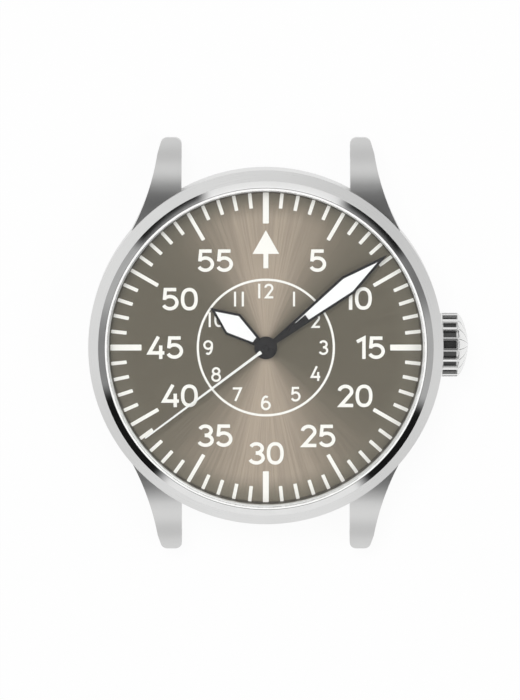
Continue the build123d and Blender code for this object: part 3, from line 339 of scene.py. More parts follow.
def polished(name, colour, rough):
    """Mirror metal with faint wipe marks."""
    f = Finish(name)
    wipe = f.noise(f.place((0.4, 2.2, 0.4), turn_deg=(0, 0, 35)), 4.0, 0.6)
    haze = f.cloud(2.5, 3.0)
    rough = rough + haze * 0.03 + f.between(wipe, 0.55, 0.75) * 0.03
    return f.metal(f.shades(haze, colour, 0.96, 1.05), rough, wipe, 0.0006)


def plain(name, colour, rough, grain_mm, depth, spread, extra=None):
    """Paint, lume or rubber with a fine grain and a slight change of colour."""
    f = Finish(name)
    grain = f.cloud(grain_mm, 3.0, 0.6)
    return f.surface({
        "Base Color": f.shades(f.cloud(1.5) * 0.5 + grain * 0.5, colour, 1 - spread, 1 + spread),
        "Roughness": rough - 0.04 + grain * 0.08,
        "Normal": f.bump(grain, depth),
        **(extra or {}),
    })


def printed(name):
    """The ink of the dial's printing."""
    return plain(name, settings().colours.ink, 0.6, 0.1, 0.002, 0.03)


def stone(name):
    """Polished synthetic ruby."""
    return plain(name, settings().colours.ruby, 0.12, 0.3, 0.0005, 0.1, {"Coat Weight": 1.0})


# Meshes

def linked(name, data):
    """An object in the scene for a mesh, a lamp or a camera."""
    thing = bpy.data.objects.new(name, data)
    bpy.context.scene.collection.objects.link(thing)
    return thing


def drafted(name, points, faces):
    """An object in the scene from points in metres, not yet a finished piece."""
    mesh = bpy.data.meshes.new(name)
    mesh.from_pydata(points, [], faces)
    return linked(name, mesh)


def shell(name, shape, material, body, sharp_deg=35.0):
    """A finished piece from points in metres and faces: smooth, but for its sharp edges."""
    points, faces = shape
    mesh = bpy.data.meshes.new(name)
    mesh.from_pydata(points, [], faces)
    mesh.validate()
    return piece_from(mesh, name, material, body, sharp_deg)


def piece_from(mesh, name, material, body, sharp_deg=35.0):
    """A finished piece from a mesh, with its material and body."""
    mesh.name = name
    mesh.shade_smooth()
    mesh.set_sharp_from_angle(angle=math.radians(sharp_deg))
    mesh.materials.clear()
    mesh.materials.append(material)
    piece = linked(name, mesh)
    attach(piece, body)
    return piece


def ring_shell(outline, turns):
    """Points and faces of a closed outline of radius and height turned round Z; a point on Z is one pole."""
    points, rows = [], []
    for r, z in outline:
        if r == 0:
            rows.append([len(points)] * turns)
            points.append((0.0, 0.0, z))
            continue
        rows.append(range(len(points), len(points) + turns))
        angles = [2 * math.pi * step / turns for step in range(turns)]
        points += [(r * math.cos(a), r * math.sin(a), z) for a in angles]
    faces = []
    for row, above in zip(rows, rows[1:] + rows[:1]):
        for i in range(turns):
            j = (i + 1) % turns
            corners = list(dict.fromkeys((row[i], row[j], above[j], above[i])))
            if len(corners) > 2:
                faces.append(tuple(corners))
    return points, faces


def slab(outline, low, high):
    """Points and faces of a flat outline, run anticlockwise, stood between two heights."""
    count = len(outline)
    points = [(x, y, z) for z in (low, high) for x, y in outline]
    faces = [tuple(reversed(range(count))), tuple(range(count, 2 * count))]
    for i in range(count):
        j = (i + 1) % count
        faces.append((i, j, count + j, count + i))
    return points, faces


def together(shapes):
    """Points and faces of several shapes as one."""
    points, faces = [], []
    for some_points, some_faces in shapes:
        faces += [tuple(len(points) + i for i in face) for face in some_faces]
        points += some_points
    return points, faces


def grown(name, tree, values, material, body):
    """Runs a geometry tree on an empty mesh and keeps its result as a plain mesh."""
    seed = drafted(name + "_seed", [], [])
    maker = seed.modifiers.new(name, "NODES")
    maker.node_group = tree
    sockets = {item.name: item.identifier for item in tree.interface.items_tree if item.in_out == "INPUT"}
    for label, value in {**values, "Finish": material}.items():
        maker[sockets[label]] = value
    graph = bpy.context.evaluated_depsgraph_get()
    mesh = bpy.data.meshes.new_from_object(seed.evaluated_get(graph))
    seed.modifiers.clear()
    bpy.data.objects.remove(seed)
    if not mesh.polygons:
        raise RuntimeError(f"{name}: the geometry tree made no faces")
    return piece_from(mesh, name, material, body)


class Growth(Graph):
    """A geometry tree with named inputs."""

    def __init__(self, name, inputs):
        super().__init__(bpy.data.node_groups.new(name, "GeometryNodeTree"))
        self.tree.interface.new_socket("Geometry", in_out="OUTPUT", socket_type="NodeSocketGeometry")
        for label, kind in {**inputs, "Finish": "Material"}.items():
            self.tree.interface.new_socket(label, in_out="INPUT", socket_type="NodeSocket" + kind)
        self.inputs = self.add("NodeGroupInput")

    def given(self, label):
        return Wire(self, self.inputs.outputs[label])

    def given_shape(self, label):
        """The mesh of the object that is given under a label."""
        sockets = {"Object": self.given(label)}
        return self.pick("GeometryNodeObjectInfo", {"transform_space": "ORIGINAL"}, sockets, "Geometry")

    def joined(self, mesh):
        """The solids of a mesh, joined where they cross."""
        settings = {"operation": "UNION", "solver": "EXACT"}
        return self.pick("GeometryNodeMeshBoolean", settings, {"Mesh 2": mesh, "Self Intersection": True})

    def copied(self, points, instance, turn, kept=True):
        """A shape at each of the points, turned there."""
        sockets = {"Points": points, "Selection": kept, "Instance": instance, "Rotation": turn}
        return self.pick("GeometryNodeInstanceOnPoints", None, sockets)

    def lifted(self, geometry, height):
        sockets = {"Geometry": geometry, "Translation": self.vector(0.0, 0.0, height)}
        return self.pick("GeometryNodeTransform", None, sockets)

    def merged(self, geometry, distance):
        """Welds the points that lie nearer than a distance."""
        return self.pick("GeometryNodeMergeByDistance", None, {"Geometry": geometry, "Distance": distance})

    def end(self, geometry):
        """Realizes the instances, gives them the finish and closes the tree."""
        real = self.pick("GeometryNodeRealizeInstances", None, {"Geometry": geometry})
        sockets = {"Geometry": real, "Material": self.given("Finish")}
        dressed = self.pick("GeometryNodeSetMaterial", None, sockets)
        self.add("NodeGroupOutput", None, {"Geometry": dressed})
        return self.tree


def marks_tree():
    """Printed bars round a circle, with each bar of a multiple left out if asked."""
    g = Growth("printed marks", {
        "Count": "Int", "Left Out": "Int", "Outer Radius": "Float", "Length": "Float", "Width": "Float",
        "Corner": "Float", "Level": "Float", "Height": "Float",
    })
    outline = g.pick("GeometryNodeCurvePrimitiveQuadrilateral", None, {
        "Width": g.given("Length"), "Height": g.given("Width"),
    })
    rounded = g.pick("GeometryNodeFilletCurve", {"mode": "POLY"}, {
        "Curve": outline, "Count": 3, "Radius": g.given("Corner"),
    })
    face = g.pick("GeometryNodeFillCurve", {"mode": "NGONS"}, {"Curve": rounded})
    top = g.pick("GeometryNodeExtrudeMesh", None, {
        "Mesh": face, "Offset": g.vector(0.0, 0.0, 1.0), "Offset Scale": g.given("Height"),
        "Individual": False,
    })
    under = g.pick("GeometryNodeFlipFaces", None, {"Mesh": face})
    both = g.add("GeometryNodeJoinGeometry")
    for part in (top, under):
        g.tree.links.new(part.socket, both.inputs[0])
    bar = g.merged(Wire(g, both.outputs[0]), 1e-7)
    circle = g.pick("GeometryNodeMeshCircle", None, {
        "Vertices": g.given("Count"), "Radius": g.given("Outer Radius") - g.given("Length") * 0.5,
    })
    index = g.pick("GeometryNodeInputIndex")
    rest = g.maths("MODULO", index, g.given("Left Out"))
    kept = g.pick("FunctionNodeCompare", {"data_type": "FLOAT", "operation": "GREATER_THAN"}, {
        0: rest + g.maths("LESS_THAN", g.given("Left Out"), 1.0), 1: 0.5,
    })
    turn = g.vector(0.0, 0.0, index * (2 * math.pi) / g.given("Count"))
    return g.end(g.lifted(g.copied(circle, bar, turn, kept), g.given("Level")))


def petals_tree():
    """One sector of the crown, repeated round the crown's axis and closed into one shell."""
    g = Growth("crown sectors", {"Count": "Int", "Sector": "Object", "Axis Height": "Float"})
    count = g.given("Count")
    places = g.pick("GeometryNodeMeshLine", None, {"Count": count, "Offset": (0.0, 0.0, 0.0)})
    turn = (g.pick("GeometryNodeInputIndex") + FIRST_RIB) * (2 * math.pi) / count
    sectors = g.copied(places, g.given_shape("Sector"), g.vector(turn, 0.0, 0.0))
    raised = g.lifted(sectors, g.given("Axis Height"))
    real = g.pick("GeometryNodeRealizeInstances", None, {"Geometry": raised})
    return g.end(g.merged(real, 2e-6))


def union_tree():
    """The strokes of a mesh, joined where they cross into one clean print."""
    g = Growth("joined strokes", {"Strokes": "Object"})
    return g.end(g.joined(g.given_shape("Strokes")))


def spread_tree():
    """One piece, its solids joined, repeated at the points of a mesh, each turned a little on."""
    g = Growth("spread pieces", {"Places": "Object", "Piece": "Object", "Turn": "Float"})
    places, piece = g.given_shape("Places"), g.joined(g.given_shape("Piece"))
    turn = g.pick("GeometryNodeInputIndex") * g.given("Turn")
    return g.end(g.copied(places, piece, g.vector(0.0, 0.0, turn)))


# Figures of the dial, drawn as strokes

# Reach of the flag of a 1 in half figure widths, and the clear sides of a figure in strokes
FLAG = 1.05
CLEAR, CLEAR_BY_ONE, CLEAR_BY_FLAG = 0.28, 1.3, 0.45


def arc(cx, cy, rx, ry, start_deg, end_deg, steps=20):
    """Points along an ellipse."""
    angles = [math.radians(start_deg + (end_deg - start_deg) * i / steps) for i in range(steps + 1)]
    return [(cx + rx * math.cos(a), cy + ry * math.sin(a)) for a in angles]


def loop(cx, cy, rx, ry):
    """Points all round an ellipse."""
    return arc(cx, cy, rx, ry, 0, 360, 36)[:-1]


def oval(steps=40, power=2.35):
    """Points all round a shape that is a little squarer than a circle."""
    def squared(share):
        return math.copysign(abs(share) ** (2 / power), share)

    turns = [2 * math.pi * i / steps for i in range(steps)]
    return [(squared(math.cos(t)), squared(math.sin(t))) for t in turns]


# Centre lines of the figures in a box from -1 to 1 each way, and whether each closes on itself
SIX = [(loop(0, -0.4, 1, 0.6), True), (arc(0, -0.3, 1, 1.3, 176, 62), False)]
FIGURES = {
    "0": [(oval(), True)],
    "1": [([(-1, 0.62), (0, 1), (0, -1)], False)],
    "2": [(arc(0.04, 0.46, 0.92, 0.54, 172, -28) + [(-0.66, -1), (1.2, -1)], False)],
    "3": [
        (arc(0, 0.52, 0.86, 0.48, 158, -80)[:-1] + [(-0.1, 0.04)], False),
        ([(-0.1, 0.04)] + arc(0, -0.48, 1, 0.52, 80, -160)[1:], False),
    ],
    "4": [([(1.25, -0.56), (-1, -0.56), (0.36, 1.14)], False), ([(0.7, 0.22), (0.7, -1.2)], False)],
    "5": [([(0.86, 1), (-0.75, 1), (-0.9, -0.08)], False), (arc(-0.08, -0.36, 1.05, 0.64, 142, -153), False)],
    "6": SIX,
    "7": [([(-1.06, 1), (1.06, 1), (-0.4, -1)], False)],
    "8": [(loop(0, 0.54, 0.84, 0.46), True), (loop(0, -0.46, 1, 0.54), True)],
    "9": [([(-x, -y) for x, y in line], closed) for line, closed in SIX],
}


def stroke_shell(line, closed, width, low, high):
    """Points and faces of a flat stroke along a line, with its corners mitred, stood between two heights."""
    count = len(line)
    points = []
    for i, here in enumerate(line):
        before = line[i - 1] if closed or i else None
        after = line[(i + 1) % count] if closed or i < count - 1 else None
        run_in = (Vector(here) - Vector(before)).normalized() if before else None
        run_out = (Vector(after) - Vector(here)).normalized() if after else None
        along = ((run_in or run_out) + (run_out or run_in)).normalized()
        reach = width / 2 / max(0.35, along.dot(run_in or run_out))
        across = Vector((-along.y, along.x)) * reach
        right, left = Vector(here) - across, Vector(here) + across
        points += [(*right, low), (*right, high), (*left, high), (*left, low)]
    faces = []
    for i in range(count if closed else count - 1):
        here, there = 4 * i, 4 * ((i + 1) % count)
        faces += [(here + k, there + k, there + (k + 1) % 4, here + (k + 1) % 4) for k in range(4)]
    if not closed:
        faces += [(0, 1, 2, 3), tuple(4 * count - 4 + k for k in (3, 2, 1, 0))]
    return points, faces


def number_strokes(text, centre, height, width, stroke, flagged):
    """The centre lines of a number's strokes, with its ink centred on a point."""
    a, b = (width - stroke) / 2, (height - stroke) / 2
    flag = FLAG * a if flagged else 0.0
    clear = {"1": CLEAR_BY_FLAG if flagged else CLEAR_BY_ONE}
    widths = [stroke + flag if t == "1" else width for t in text]
    bearings = [clear.get(t, CLEAR) * stroke for t in text]
    gaps = [one + two for one, two in zip(bearings, bearings[1:])] + [0.0]
    left = centre[0] - (sum(widths) + sum(gaps)) / 2
    lines = []
    for t, wide, gap in zip(text, widths, gaps):
        is_one = t == "1"
        middle = left + (wide - stroke / 2 if is_one else wide / 2)
        for line, closed in FIGURES[t]:
            line = [(x * (flag if is_one else a), y * b) for x, y in line]
            if is_one:
                head = line[:-1] if flagged else [(0.0, b + stroke / 2)]
                line = head + [(0.0, -b - stroke / 2)]
            lines.append(([(x + middle, y + centre[1]) for x, y in line], closed))
        left += wide + gap
    return lines


# Operators, one for each piece or group of like pieces

def settings():
    return bpy.context.scene.pilot_watch


def dress(material, *nodes):
    """Gives CAD nodes a finish."""
    for name in nodes:
        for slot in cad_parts[name].material_slots:
            slot.material = material


class DressStage(bpy.types.Operator):
    """Lays the pale floor and sets the lamps, the surroundings and the camera"""
    bl_idname = "pilot_watch.dress_stage"
    bl_label = "Floor, lamps and camera"

    # Height of the floor, and how far it is plain white to the eye
    floor_level, floor_white = -0.02 * MM, 0.94
    # Name, place and width in metres, and power
    lamps = (("lamp_key", (-0.14, 0.24, 0.85), 0.38, 4.1), ("lamp_fill", (0.46, -0.12, 0.75), 0.4, 1.66))
    # Bearing and half width in degrees, and level, each card over those before it
    cards = (
        (0, 32, 1.0), (178, 40, 1.0), (90, 30, 0.50), (270, 30, 0.52), (66, 12, 0.22), (262, 12, 0.30),
        (45, 14, 0.01), (131, 16, 0.01), (233, 17, 0.01), (321, 15, 0.01),
    )
    # Level between the cards, and of the light that the room throws on the watch
    between_cards, room_level = 0.42, 0.55
    # A bright band above the cards, and the spot near the zenith that darkens it
    band_edge, band_level = (0.36, 0.50), 1.35
    spot, spot_edge, spot_depth = (0.14, 0.10, 0.985), (0.68, 0.99), 1.23

    def execute(self, context):
        studio = settings().studio
        half = studio.floor_width / 2
        corners = [(x * half, y * half, self.floor_level) for x, y in ((-1, -1), (1, -1), (1, 1), (-1, 1))]
        floor = drafted("floor", corners, [(0, 1, 2, 3)])
        floor.data.materials.append(self.floor_finish())
        self.surroundings(context.scene)
        for lamp in self.lamps:
            self.lamp(*lamp)
        self.camera(context.scene, studio)
        context.scene.view_settings.view_transform = "Standard"
        return {"FINISHED"}

    def floor_finish(self):
        """White to the eye, in mirrors and through glass, and a plain pale cloth to the light."""
        f = Finish("floor_white")
        eye, mirror, glass = f.rays("Camera", "Glossy", "Transmission")
        seen = f.maths("MINIMUM", 1.0, eye + mirror + glass)
        cloth = f.mix(f.cloud(30), (0.80, 0.80, 0.80), (0.83, 0.83, 0.83))
        lit = f.pick("ShaderNodeBsdfDiffuse", None, {"Color": cloth})
        glow = f.pick("ShaderNodeEmission", None, {"Color": (1, 1, 1, 1), "Strength": 1.0})
        both = f.pick("ShaderNodeMixShader", None, {0: seen * self.floor_white, 1: lit, 2: glow})
        f.add("ShaderNodeOutputMaterial", None, {"Surface": both})
        return f.material

    def surroundings(self, scene):
        """A white room to the eye; in reflections, white cards above and below, dark ones at the corners."""
        scene.world = bpy.data.worlds.new("studio")
        scene.world.use_nodes = True
        g = Graph(scene.world.node_tree)
        x, y, z = g.split(g.pick("ShaderNodeTexCoord", output="Generated"))
        flat = g.maths("MAXIMUM", (x * x + y * y) ** 0.5, 1e-4)

        def card(bearing_deg, half_width_deg, soft_deg):
            """1 inside a card that stands at a bearing, clockwise from +Y."""
            turn = math.radians(bearing_deg)
            facing = (x * math.sin(turn) + y * math.cos(turn)) / flat
            edges = [math.cos(math.radians(half_width_deg + s)) for s in (soft_deg, -soft_deg)]
            return g.between(facing, *edges)

        low = self.between_cards
        for bearing, half_width, level in self.cards:
            shown = card(bearing, half_width, 9.0 if level > 0.1 else 3.5)
            low = shown * level + (1.0 - shown) * low
        raised = g.between(z, *self.band_edge)
        facing_spot = x * self.spot[0] + y * self.spot[1] + z * self.spot[2]
        above = g.between(facing_spot, *self.spot_edge)
        reflected = low * (1.0 - raised) + raised * (self.band_level - above * self.spot_depth)
        eye, mirror, glass = g.rays("Camera", "Glossy", "Transmission")
        seen = g.maths("MAXIMUM", eye, glass)
        level = (1.0 - mirror) * self.room_level + mirror * reflected
        level = level * (1.0 - seen) + seen
        shade = g.pick("ShaderNodeBackground", None, {"Strength": level})
        g.add("ShaderNodeOutputWorld", None, {"Surface": shade})

    @staticmethod
    def lamp(name, place, width, power):
        """A square soft lamp turned to the watch."""
        lamp = bpy.data.lights.new(name, "AREA")
        lamp.size = width
        lamp.energy = power
        stand = linked(name, lamp)
        stand.location = place
        stand.rotation_euler = (-Vector(place)).to_track_quat("-Z", "Y").to_euler()
        stand.visible_glossy = False
        stand.visible_transmission = False

    @staticmethod
    def camera(scene, studio):
        """Looks down on the dial, leaning a little from 12, to take in the given height at the dial."""
        camera = bpy.data.cameras.new("camera")
        camera.sensor_width = 36.0
        camera.lens = camera.sensor_width * studio.camera_height / studio.view_height
        camera.clip_start, camera.clip_end = 0.01, 10.0
        lean = studio.camera_tilt
        aim = Vector((studio.aim_x, studio.aim_y / math.cos(lean), DIAL_TOP))
        holder = linked("camera", camera)
        holder.location = aim + studio.camera_height * Vector((0.0, math.sin(lean), math.cos(lean)))
        holder.rotation_euler = (-lean, 0.0, 0.0)
        scene.camera = holder


class DressCase(bpy.types.Operator):
    """Brushes the case band and the lugs, and whitens the ring inside the crystal"""
    bl_idname = "pilot_watch.dress_case"
    bl_label = "Case, lugs and seals"

    # Middles of the soft steps at the flange's bore and its white ledge, radii in mm
    bore, ledge = 18.97, 18.53

    def execute(self, context):
        colours = settings().colours
        dress(self.band_finish(colours.steel), "case_middle")
        dress(brushed("lug_steel", scaled(colours.steel, 0.9), (0.035, 3.0, 0.035), 0.3), "lugs")
        dress(turned("tube_steel", colours.steel, axis="X"), "crown_tube")
        dress(plain("seal_white", colours.seal, 0.45, 0.2, 0.002, 0.02), "crystal_gasket")
        rubber = plain("seal_black", (0.02, 0.02, 0.02), 0.6, 0.1, 0.006, 0.2)
        dress(rubber, "case_back_gasket", "crown_gasket")
        dress(plain("ring_grey", (0.26, 0.26, 0.25), 0.5, 0.15, 0.006, 0.08), "movement_ring")
        return {"FINISHED"}

    def band_finish(self, steel):
        """A grain round the band; inside, a flange painted near black as shadow at the dial's edge, and a
        clean white ledge.
        """
        f = Finish("band_steel")
        radius, across, up, along = f.round_about()
        grain = f.noise(f.vector(radius / 0.05, across * 3.0, up * 3.0 + along / 0.04), 3.0, 0.6)
        inside = 1.0 - f.between(radius, self.bore - 0.015, self.bore + 0.015)
        outside = f.shades(grain * 0.6 + f.cloud(5) * 0.4, steel, 0.9, 1.12)
        # Painted shadow: below the white ledge the flange is painted near black, as shade at the dial's edge
        white = f.between(radius, self.ledge - 0.02, self.ledge + 0.02)
        flange_shadow_and_ledge = f.mix(white, (0.10, 0.09, 0.07), (0.98, 0.98, 0.97))
        return f.surface({
            "Base Color": f.mix(inside, outside, flange_shadow_and_ledge),
            "Metallic": 1.0 - inside,
            "Roughness": 0.24 + grain * 0.1 + inside * 0.26,
            "Normal": f.bump(grain * (1.0 - inside), 0.002),
        })


class DressBezel(bpy.types.Operator):
    """Turns the mirror polished bezel with its rounded slope"""
    bl_idname = "pilot_watch.dress_bezel"
    bl_label = "Polished bezel"

    def execute(self, context):
        sizes, colours = settings().case, settings().colours
        low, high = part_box("bezel")
        outer = high.x
        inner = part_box("crystal_gasket")[1].x
        lip = inner + sizes.bezel_lip
        wall = high.z - sizes.bezel_drop
        chord = math.atan2(sizes.bezel_drop, outer - lip)
        half = chord - sizes.bezel_inner_tilt
        radius = math.hypot(outer - lip, sizes.bezel_drop) / 2 / math.sin(half)
        centre = (outer - radius * math.sin(chord + half), wall - radius * math.cos(chord + half))
        steps, turns = 14, 288
        slope = []
        for i in range(steps + 1):
            tilt = chord + half - 2 * half * i / steps
            slope.append((centre[0] + radius * math.sin(tilt), centre[1] + radius * math.cos(tilt)))
        outline = [(inner, low.z), (outer, low.z)] + slope + [(inner, high.z)]
        steel = polished("bezel_polish", scaled(colours.steel, 1.3), 0.05)
        bezel = shell("bezel_ring", ring_shell(outline, turns), steel, "case", 20.0)
        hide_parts("bezel")
        return {"FINISHED"}


class DressCrystal(bpy.types.Operator):
    """Lays the flat crystal with its fine ground edge"""
    bl_idname = "pilot_watch.dress_crystal"
    bl_label = "Crystal"

    def execute(self, context):
        f = Finish("crystal_clear")
        smear = f.cloud(6, 3.0)
        clear = f.surface({
            "Base Color": (0.99, 1.0, 1.0),
            "Roughness": f.between(smear, 0.5, 0.9) * 0.004,
            "IOR": 1.5,
            "Transmission Weight": 1.0,
        })
        low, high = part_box("crystal")
        edge = settings().case.crystal_edge
        disc = ring_shell([
            (0, low.z), (high.x, low.z), (high.x, high.z - edge), (high.x - edge, high.z), (0, high.z),
        ], 240)
        crystal = shell("crystal_disc", disc, clear, "case", 20.0)
        crystal.visible_shadow = False
        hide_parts("crystal")
        return {"FINISHED"}


class DressBack(bpy.types.Operator):
    """Brushes the bare case back round its middle"""
    bl_idname = "pilot_watch.dress_back"
    bl_label = "Case back"

    def execute(self, context):
        dress(turned("back_steel", settings().colours.steel, pitch_mm=0.06), "case_back")
        return {"FINISHED"}


class DressDial(bpy.types.Operator):
    """Lacquers the dial taupe with brushed rays, and paints bright fans of reflected light towards 12 and 6
    """
    bl_idname = "pilot_watch.dress_dial"
    bl_label = "Dial lacquer"

    # Where the painted highlight fans fade, the rim's colour comes in and the painted edge shadow darkens the
    # edge, radii in mm
    fading, rim_start, dark_edge = (6.0, 14.0), (15.0, 17.9), (18.2, 18.42)

    def execute(self, context):
        colours = settings().colours
        f = Finish("dial_lacquer")
        radius, across, up, _ = f.round_about()
        rays = f.noise(f.vector(across * 75.0, up * 75.0, radius * 0.10), 3.0, 0.65)
        wide_rays = f.noise(f.vector(across * 10.0, up * 10.0, radius * 0.05))
        # Painted highlight: bright fans of reflected light towards 12 and 6, painted into the lacquer's
        # colour and fading outwards; the bump adds only a little real sheen
        sideways = abs(across) + (wide_rays - 0.5) * 0.12
        painted_highlight_fan = (1.0 - f.between(sideways, 0.12, 0.95 - up * 0.1)) ** 1.4
        painted_highlight_fan = painted_highlight_fan * (1.0 - f.between(radius, *self.fading) * 0.12)
        light = f.shades(f.between(rays, 0.32, 0.68), colours.dial_painted_highlight, 0.88, 1.12)
        dark = f.shades(f.between(rays, 0.3, 0.7), colours.dial_dark, 0.94, 1.06)
        # Painted light and shade on the rim: lighter below and to the right, darker at the upper left
        rim = f.shades(across * 0.25 - up * 0.43 + 0.5, colours.dial_rim, 0.86, 1.12)
        shade = f.mix(f.between(radius, *self.rim_start) * 0.85, f.mix(painted_highlight_fan, dark, light), rim)
        # Painted shadow: the dial's edge darkens towards a near black ring, as shade under the flange
        shade = f.mix(f.between(radius, *self.dark_edge), shade, scaled(colours.dial_dark, 0.6))
        dress(f.surface({
            "Base Color": shade,
            "Metallic": 0.2,
            "Roughness": 0.42 + rays * 0.08,
            "Specular IOR Level": 0.2,
            "Normal": f.bump(rays, 0.004),
        }), "dial")
        return {"FINISHED"}


class PrintTrack(bpy.types.Operator):
    """Prints the minute track round the dial"""
    bl_idname = "pilot_watch.print_track"
    bl_label = "Minute track"

    def execute(self, context):
        d = settings().dial
        ink = printed("dial_ink")
        tree = marks_tree()
        for name, count, left_out, reach, width in (
            ("minute_marks", d.minutes, 5, d.minute_length, d.minute_width),
            ("five_minute_marks", d.minutes // 5, 3, d.five_length, d.five_width),
            ("quarter_marks", 4, 0, d.five_length, d.quarter_width),
        ):
            grown(name, tree, {
                "Count": count, "Left Out": left_out, "Outer Radius": d.track_radius, "Length": reach,
                "Width": width, "Corner": d.corner, "Level": DIAL_TOP, "Height": d.print_height,
            }, ink, "case")
        return {"FINISHED"}


class PrintFigures(bpy.types.Operator):
    """Prints the arrow, the minute and hour figures and the ring round the hours"""
    bl_idname = "pilot_watch.print_figures"
    bl_label = "Figures, arrow and ring"

    # Middles of the figures, in mm
    minute_places = {
        "55": (-5.97, 10.3), "5": (6.15, 10.3), "50": (-10.16, 5.74), "10": (10.75, 5.82),
        "45": (-11.87, 0.0), "15": (12.33, -0.02), "40": (-10.16, -5.72), "20": (10.5, -5.74),
        "35": (-6.04, -10.47), "25": (6.14, -10.5), "30": (0.0, -12.57),
    }
    hour_places = {
        "12": (0.0, 6.7), "1": (3.33, 5.75), "2": (5.85, 3.2), "3": (6.8, 0.0), "4": (5.87, -3.07),
        "5": (3.54, -5.54), "6": (0.0, -6.57), "7": (-3.43, -5.6), "8": (-5.88, -3.2), "9": (-6.82, 0.0),
        "10": (-5.85, 3.3), "11": (-3.18, 5.75),
    }

    def execute(self, context):
        d = settings().dial
        ink, joining = printed("figure_ink"), union_tree()
        top = DIAL_TOP + d.print_height
        for kind, places in (("minute", self.minute_places), ("hour", self.hour_places)):
            sizes = [getattr(d, f"{kind}_figure_{size}") for size in ("height", "width", "stroke")]
            stroke = sizes[-1]
            lines = []
            for text, place in places.items():
                lines += number_strokes(text, [p * MM for p in place], *sizes, kind == "minute")
            self.drawn(f"{kind}_figures", lines, stroke, top, joining, ink)
        w, s = d.arrow_half_width, d.arrow_stem / 2
        arrow = [(-s, d.arrow_tail), (s, d.arrow_tail), (s, d.arrow_base), (w, d.arrow_base),
                 (0, d.arrow_tip), (-w, d.arrow_base), (-s, d.arrow_base)]
        shell("noon_arrow", slab(arrow, DIAL_TOP, top), ink, "case")
        inner, outer = d.ring_radius - d.ring_width / 2, d.ring_radius + d.ring_width / 2
        ring = ring_shell([(inner, DIAL_TOP), (outer, DIAL_TOP), (outer, top), (inner, top)], 180)
        shell("hour_ring", ring, ink, "case")
        return {"FINISHED"}

    @staticmethod
    def drawn(name, lines, stroke, top, joining, ink):
        """Strokes along centre lines, each a hair taller than the one before, joined into one piece."""
        shapes = []
        for i, (line, closed) in enumerate(lines):
            step = i % 4 * 0.001 * MM
            shapes.append(stroke_shell(line, closed, stroke, DIAL_TOP - step, top + step))
        strokes = drafted(name + "_strokes", *together(shapes))
        grown(name, joining, {"Strokes": strokes}, ink, "case")
        bpy.data.objects.remove(strokes)


class DressHands(bpy.types.Operator):
    """Paints the hands black, white and lume"""
    bl_idname = "pilot_watch.dress_hands"
    bl_label = "Hands"

    second_hand_deg = 233.3
    # Edges of the needle's white: out from the hub and to each side, in mm
    white_start, white_side = (0.66, 0.74), (0.20, 0.22)

    def execute(self, context):
        colours, dial = settings().colours, settings().dial
        black = plain("hand_black", HAND_BLACK, 0.42, 0.2, 0.001, 0.2, {"Specular IOR Level": 0.15})
        dress(black, "hour_hand", "minute_hand")
        dress(plain("hand_lume", colours.lume, 0.7, 0.08, 0.006, 0.03), "hour_lume", "minute_lume")
        f = Finish("second_hand_paint")
        along, across, _ = f.split(f.place(turn_deg=(0, 0, 90 - self.second_hand_deg)))
        grain = f.cloud(0.15)
        needle = f.between(along, *self.white_start) * (1.0 - f.between(abs(across), *self.white_side))
        white = f.mix(grain, (0.88, 0.88, 0.85), (0.94, 0.94, 0.91))
        dress(f.surface({
            "Base Color": f.mix(needle, HAND_BLACK, white),
            "Roughness": 0.42 + grain * 0.08,
            "Specular IOR Level": 0.15,
            "Normal": f.bump(grain, 0.001),
        }), "second_hand")
        top, radius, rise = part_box("second_hand")[1].z, dial.cap_radius, dial.cap_rise
        dome = arc(0, top, radius, rise, 0, 75, 5)
        cap = ring_shell([(0, top)] + dome + [(0, top + rise)], 40)
        shell("second_hand_cap", cap, black, "seconds_work")
        return {"FINISHED"}


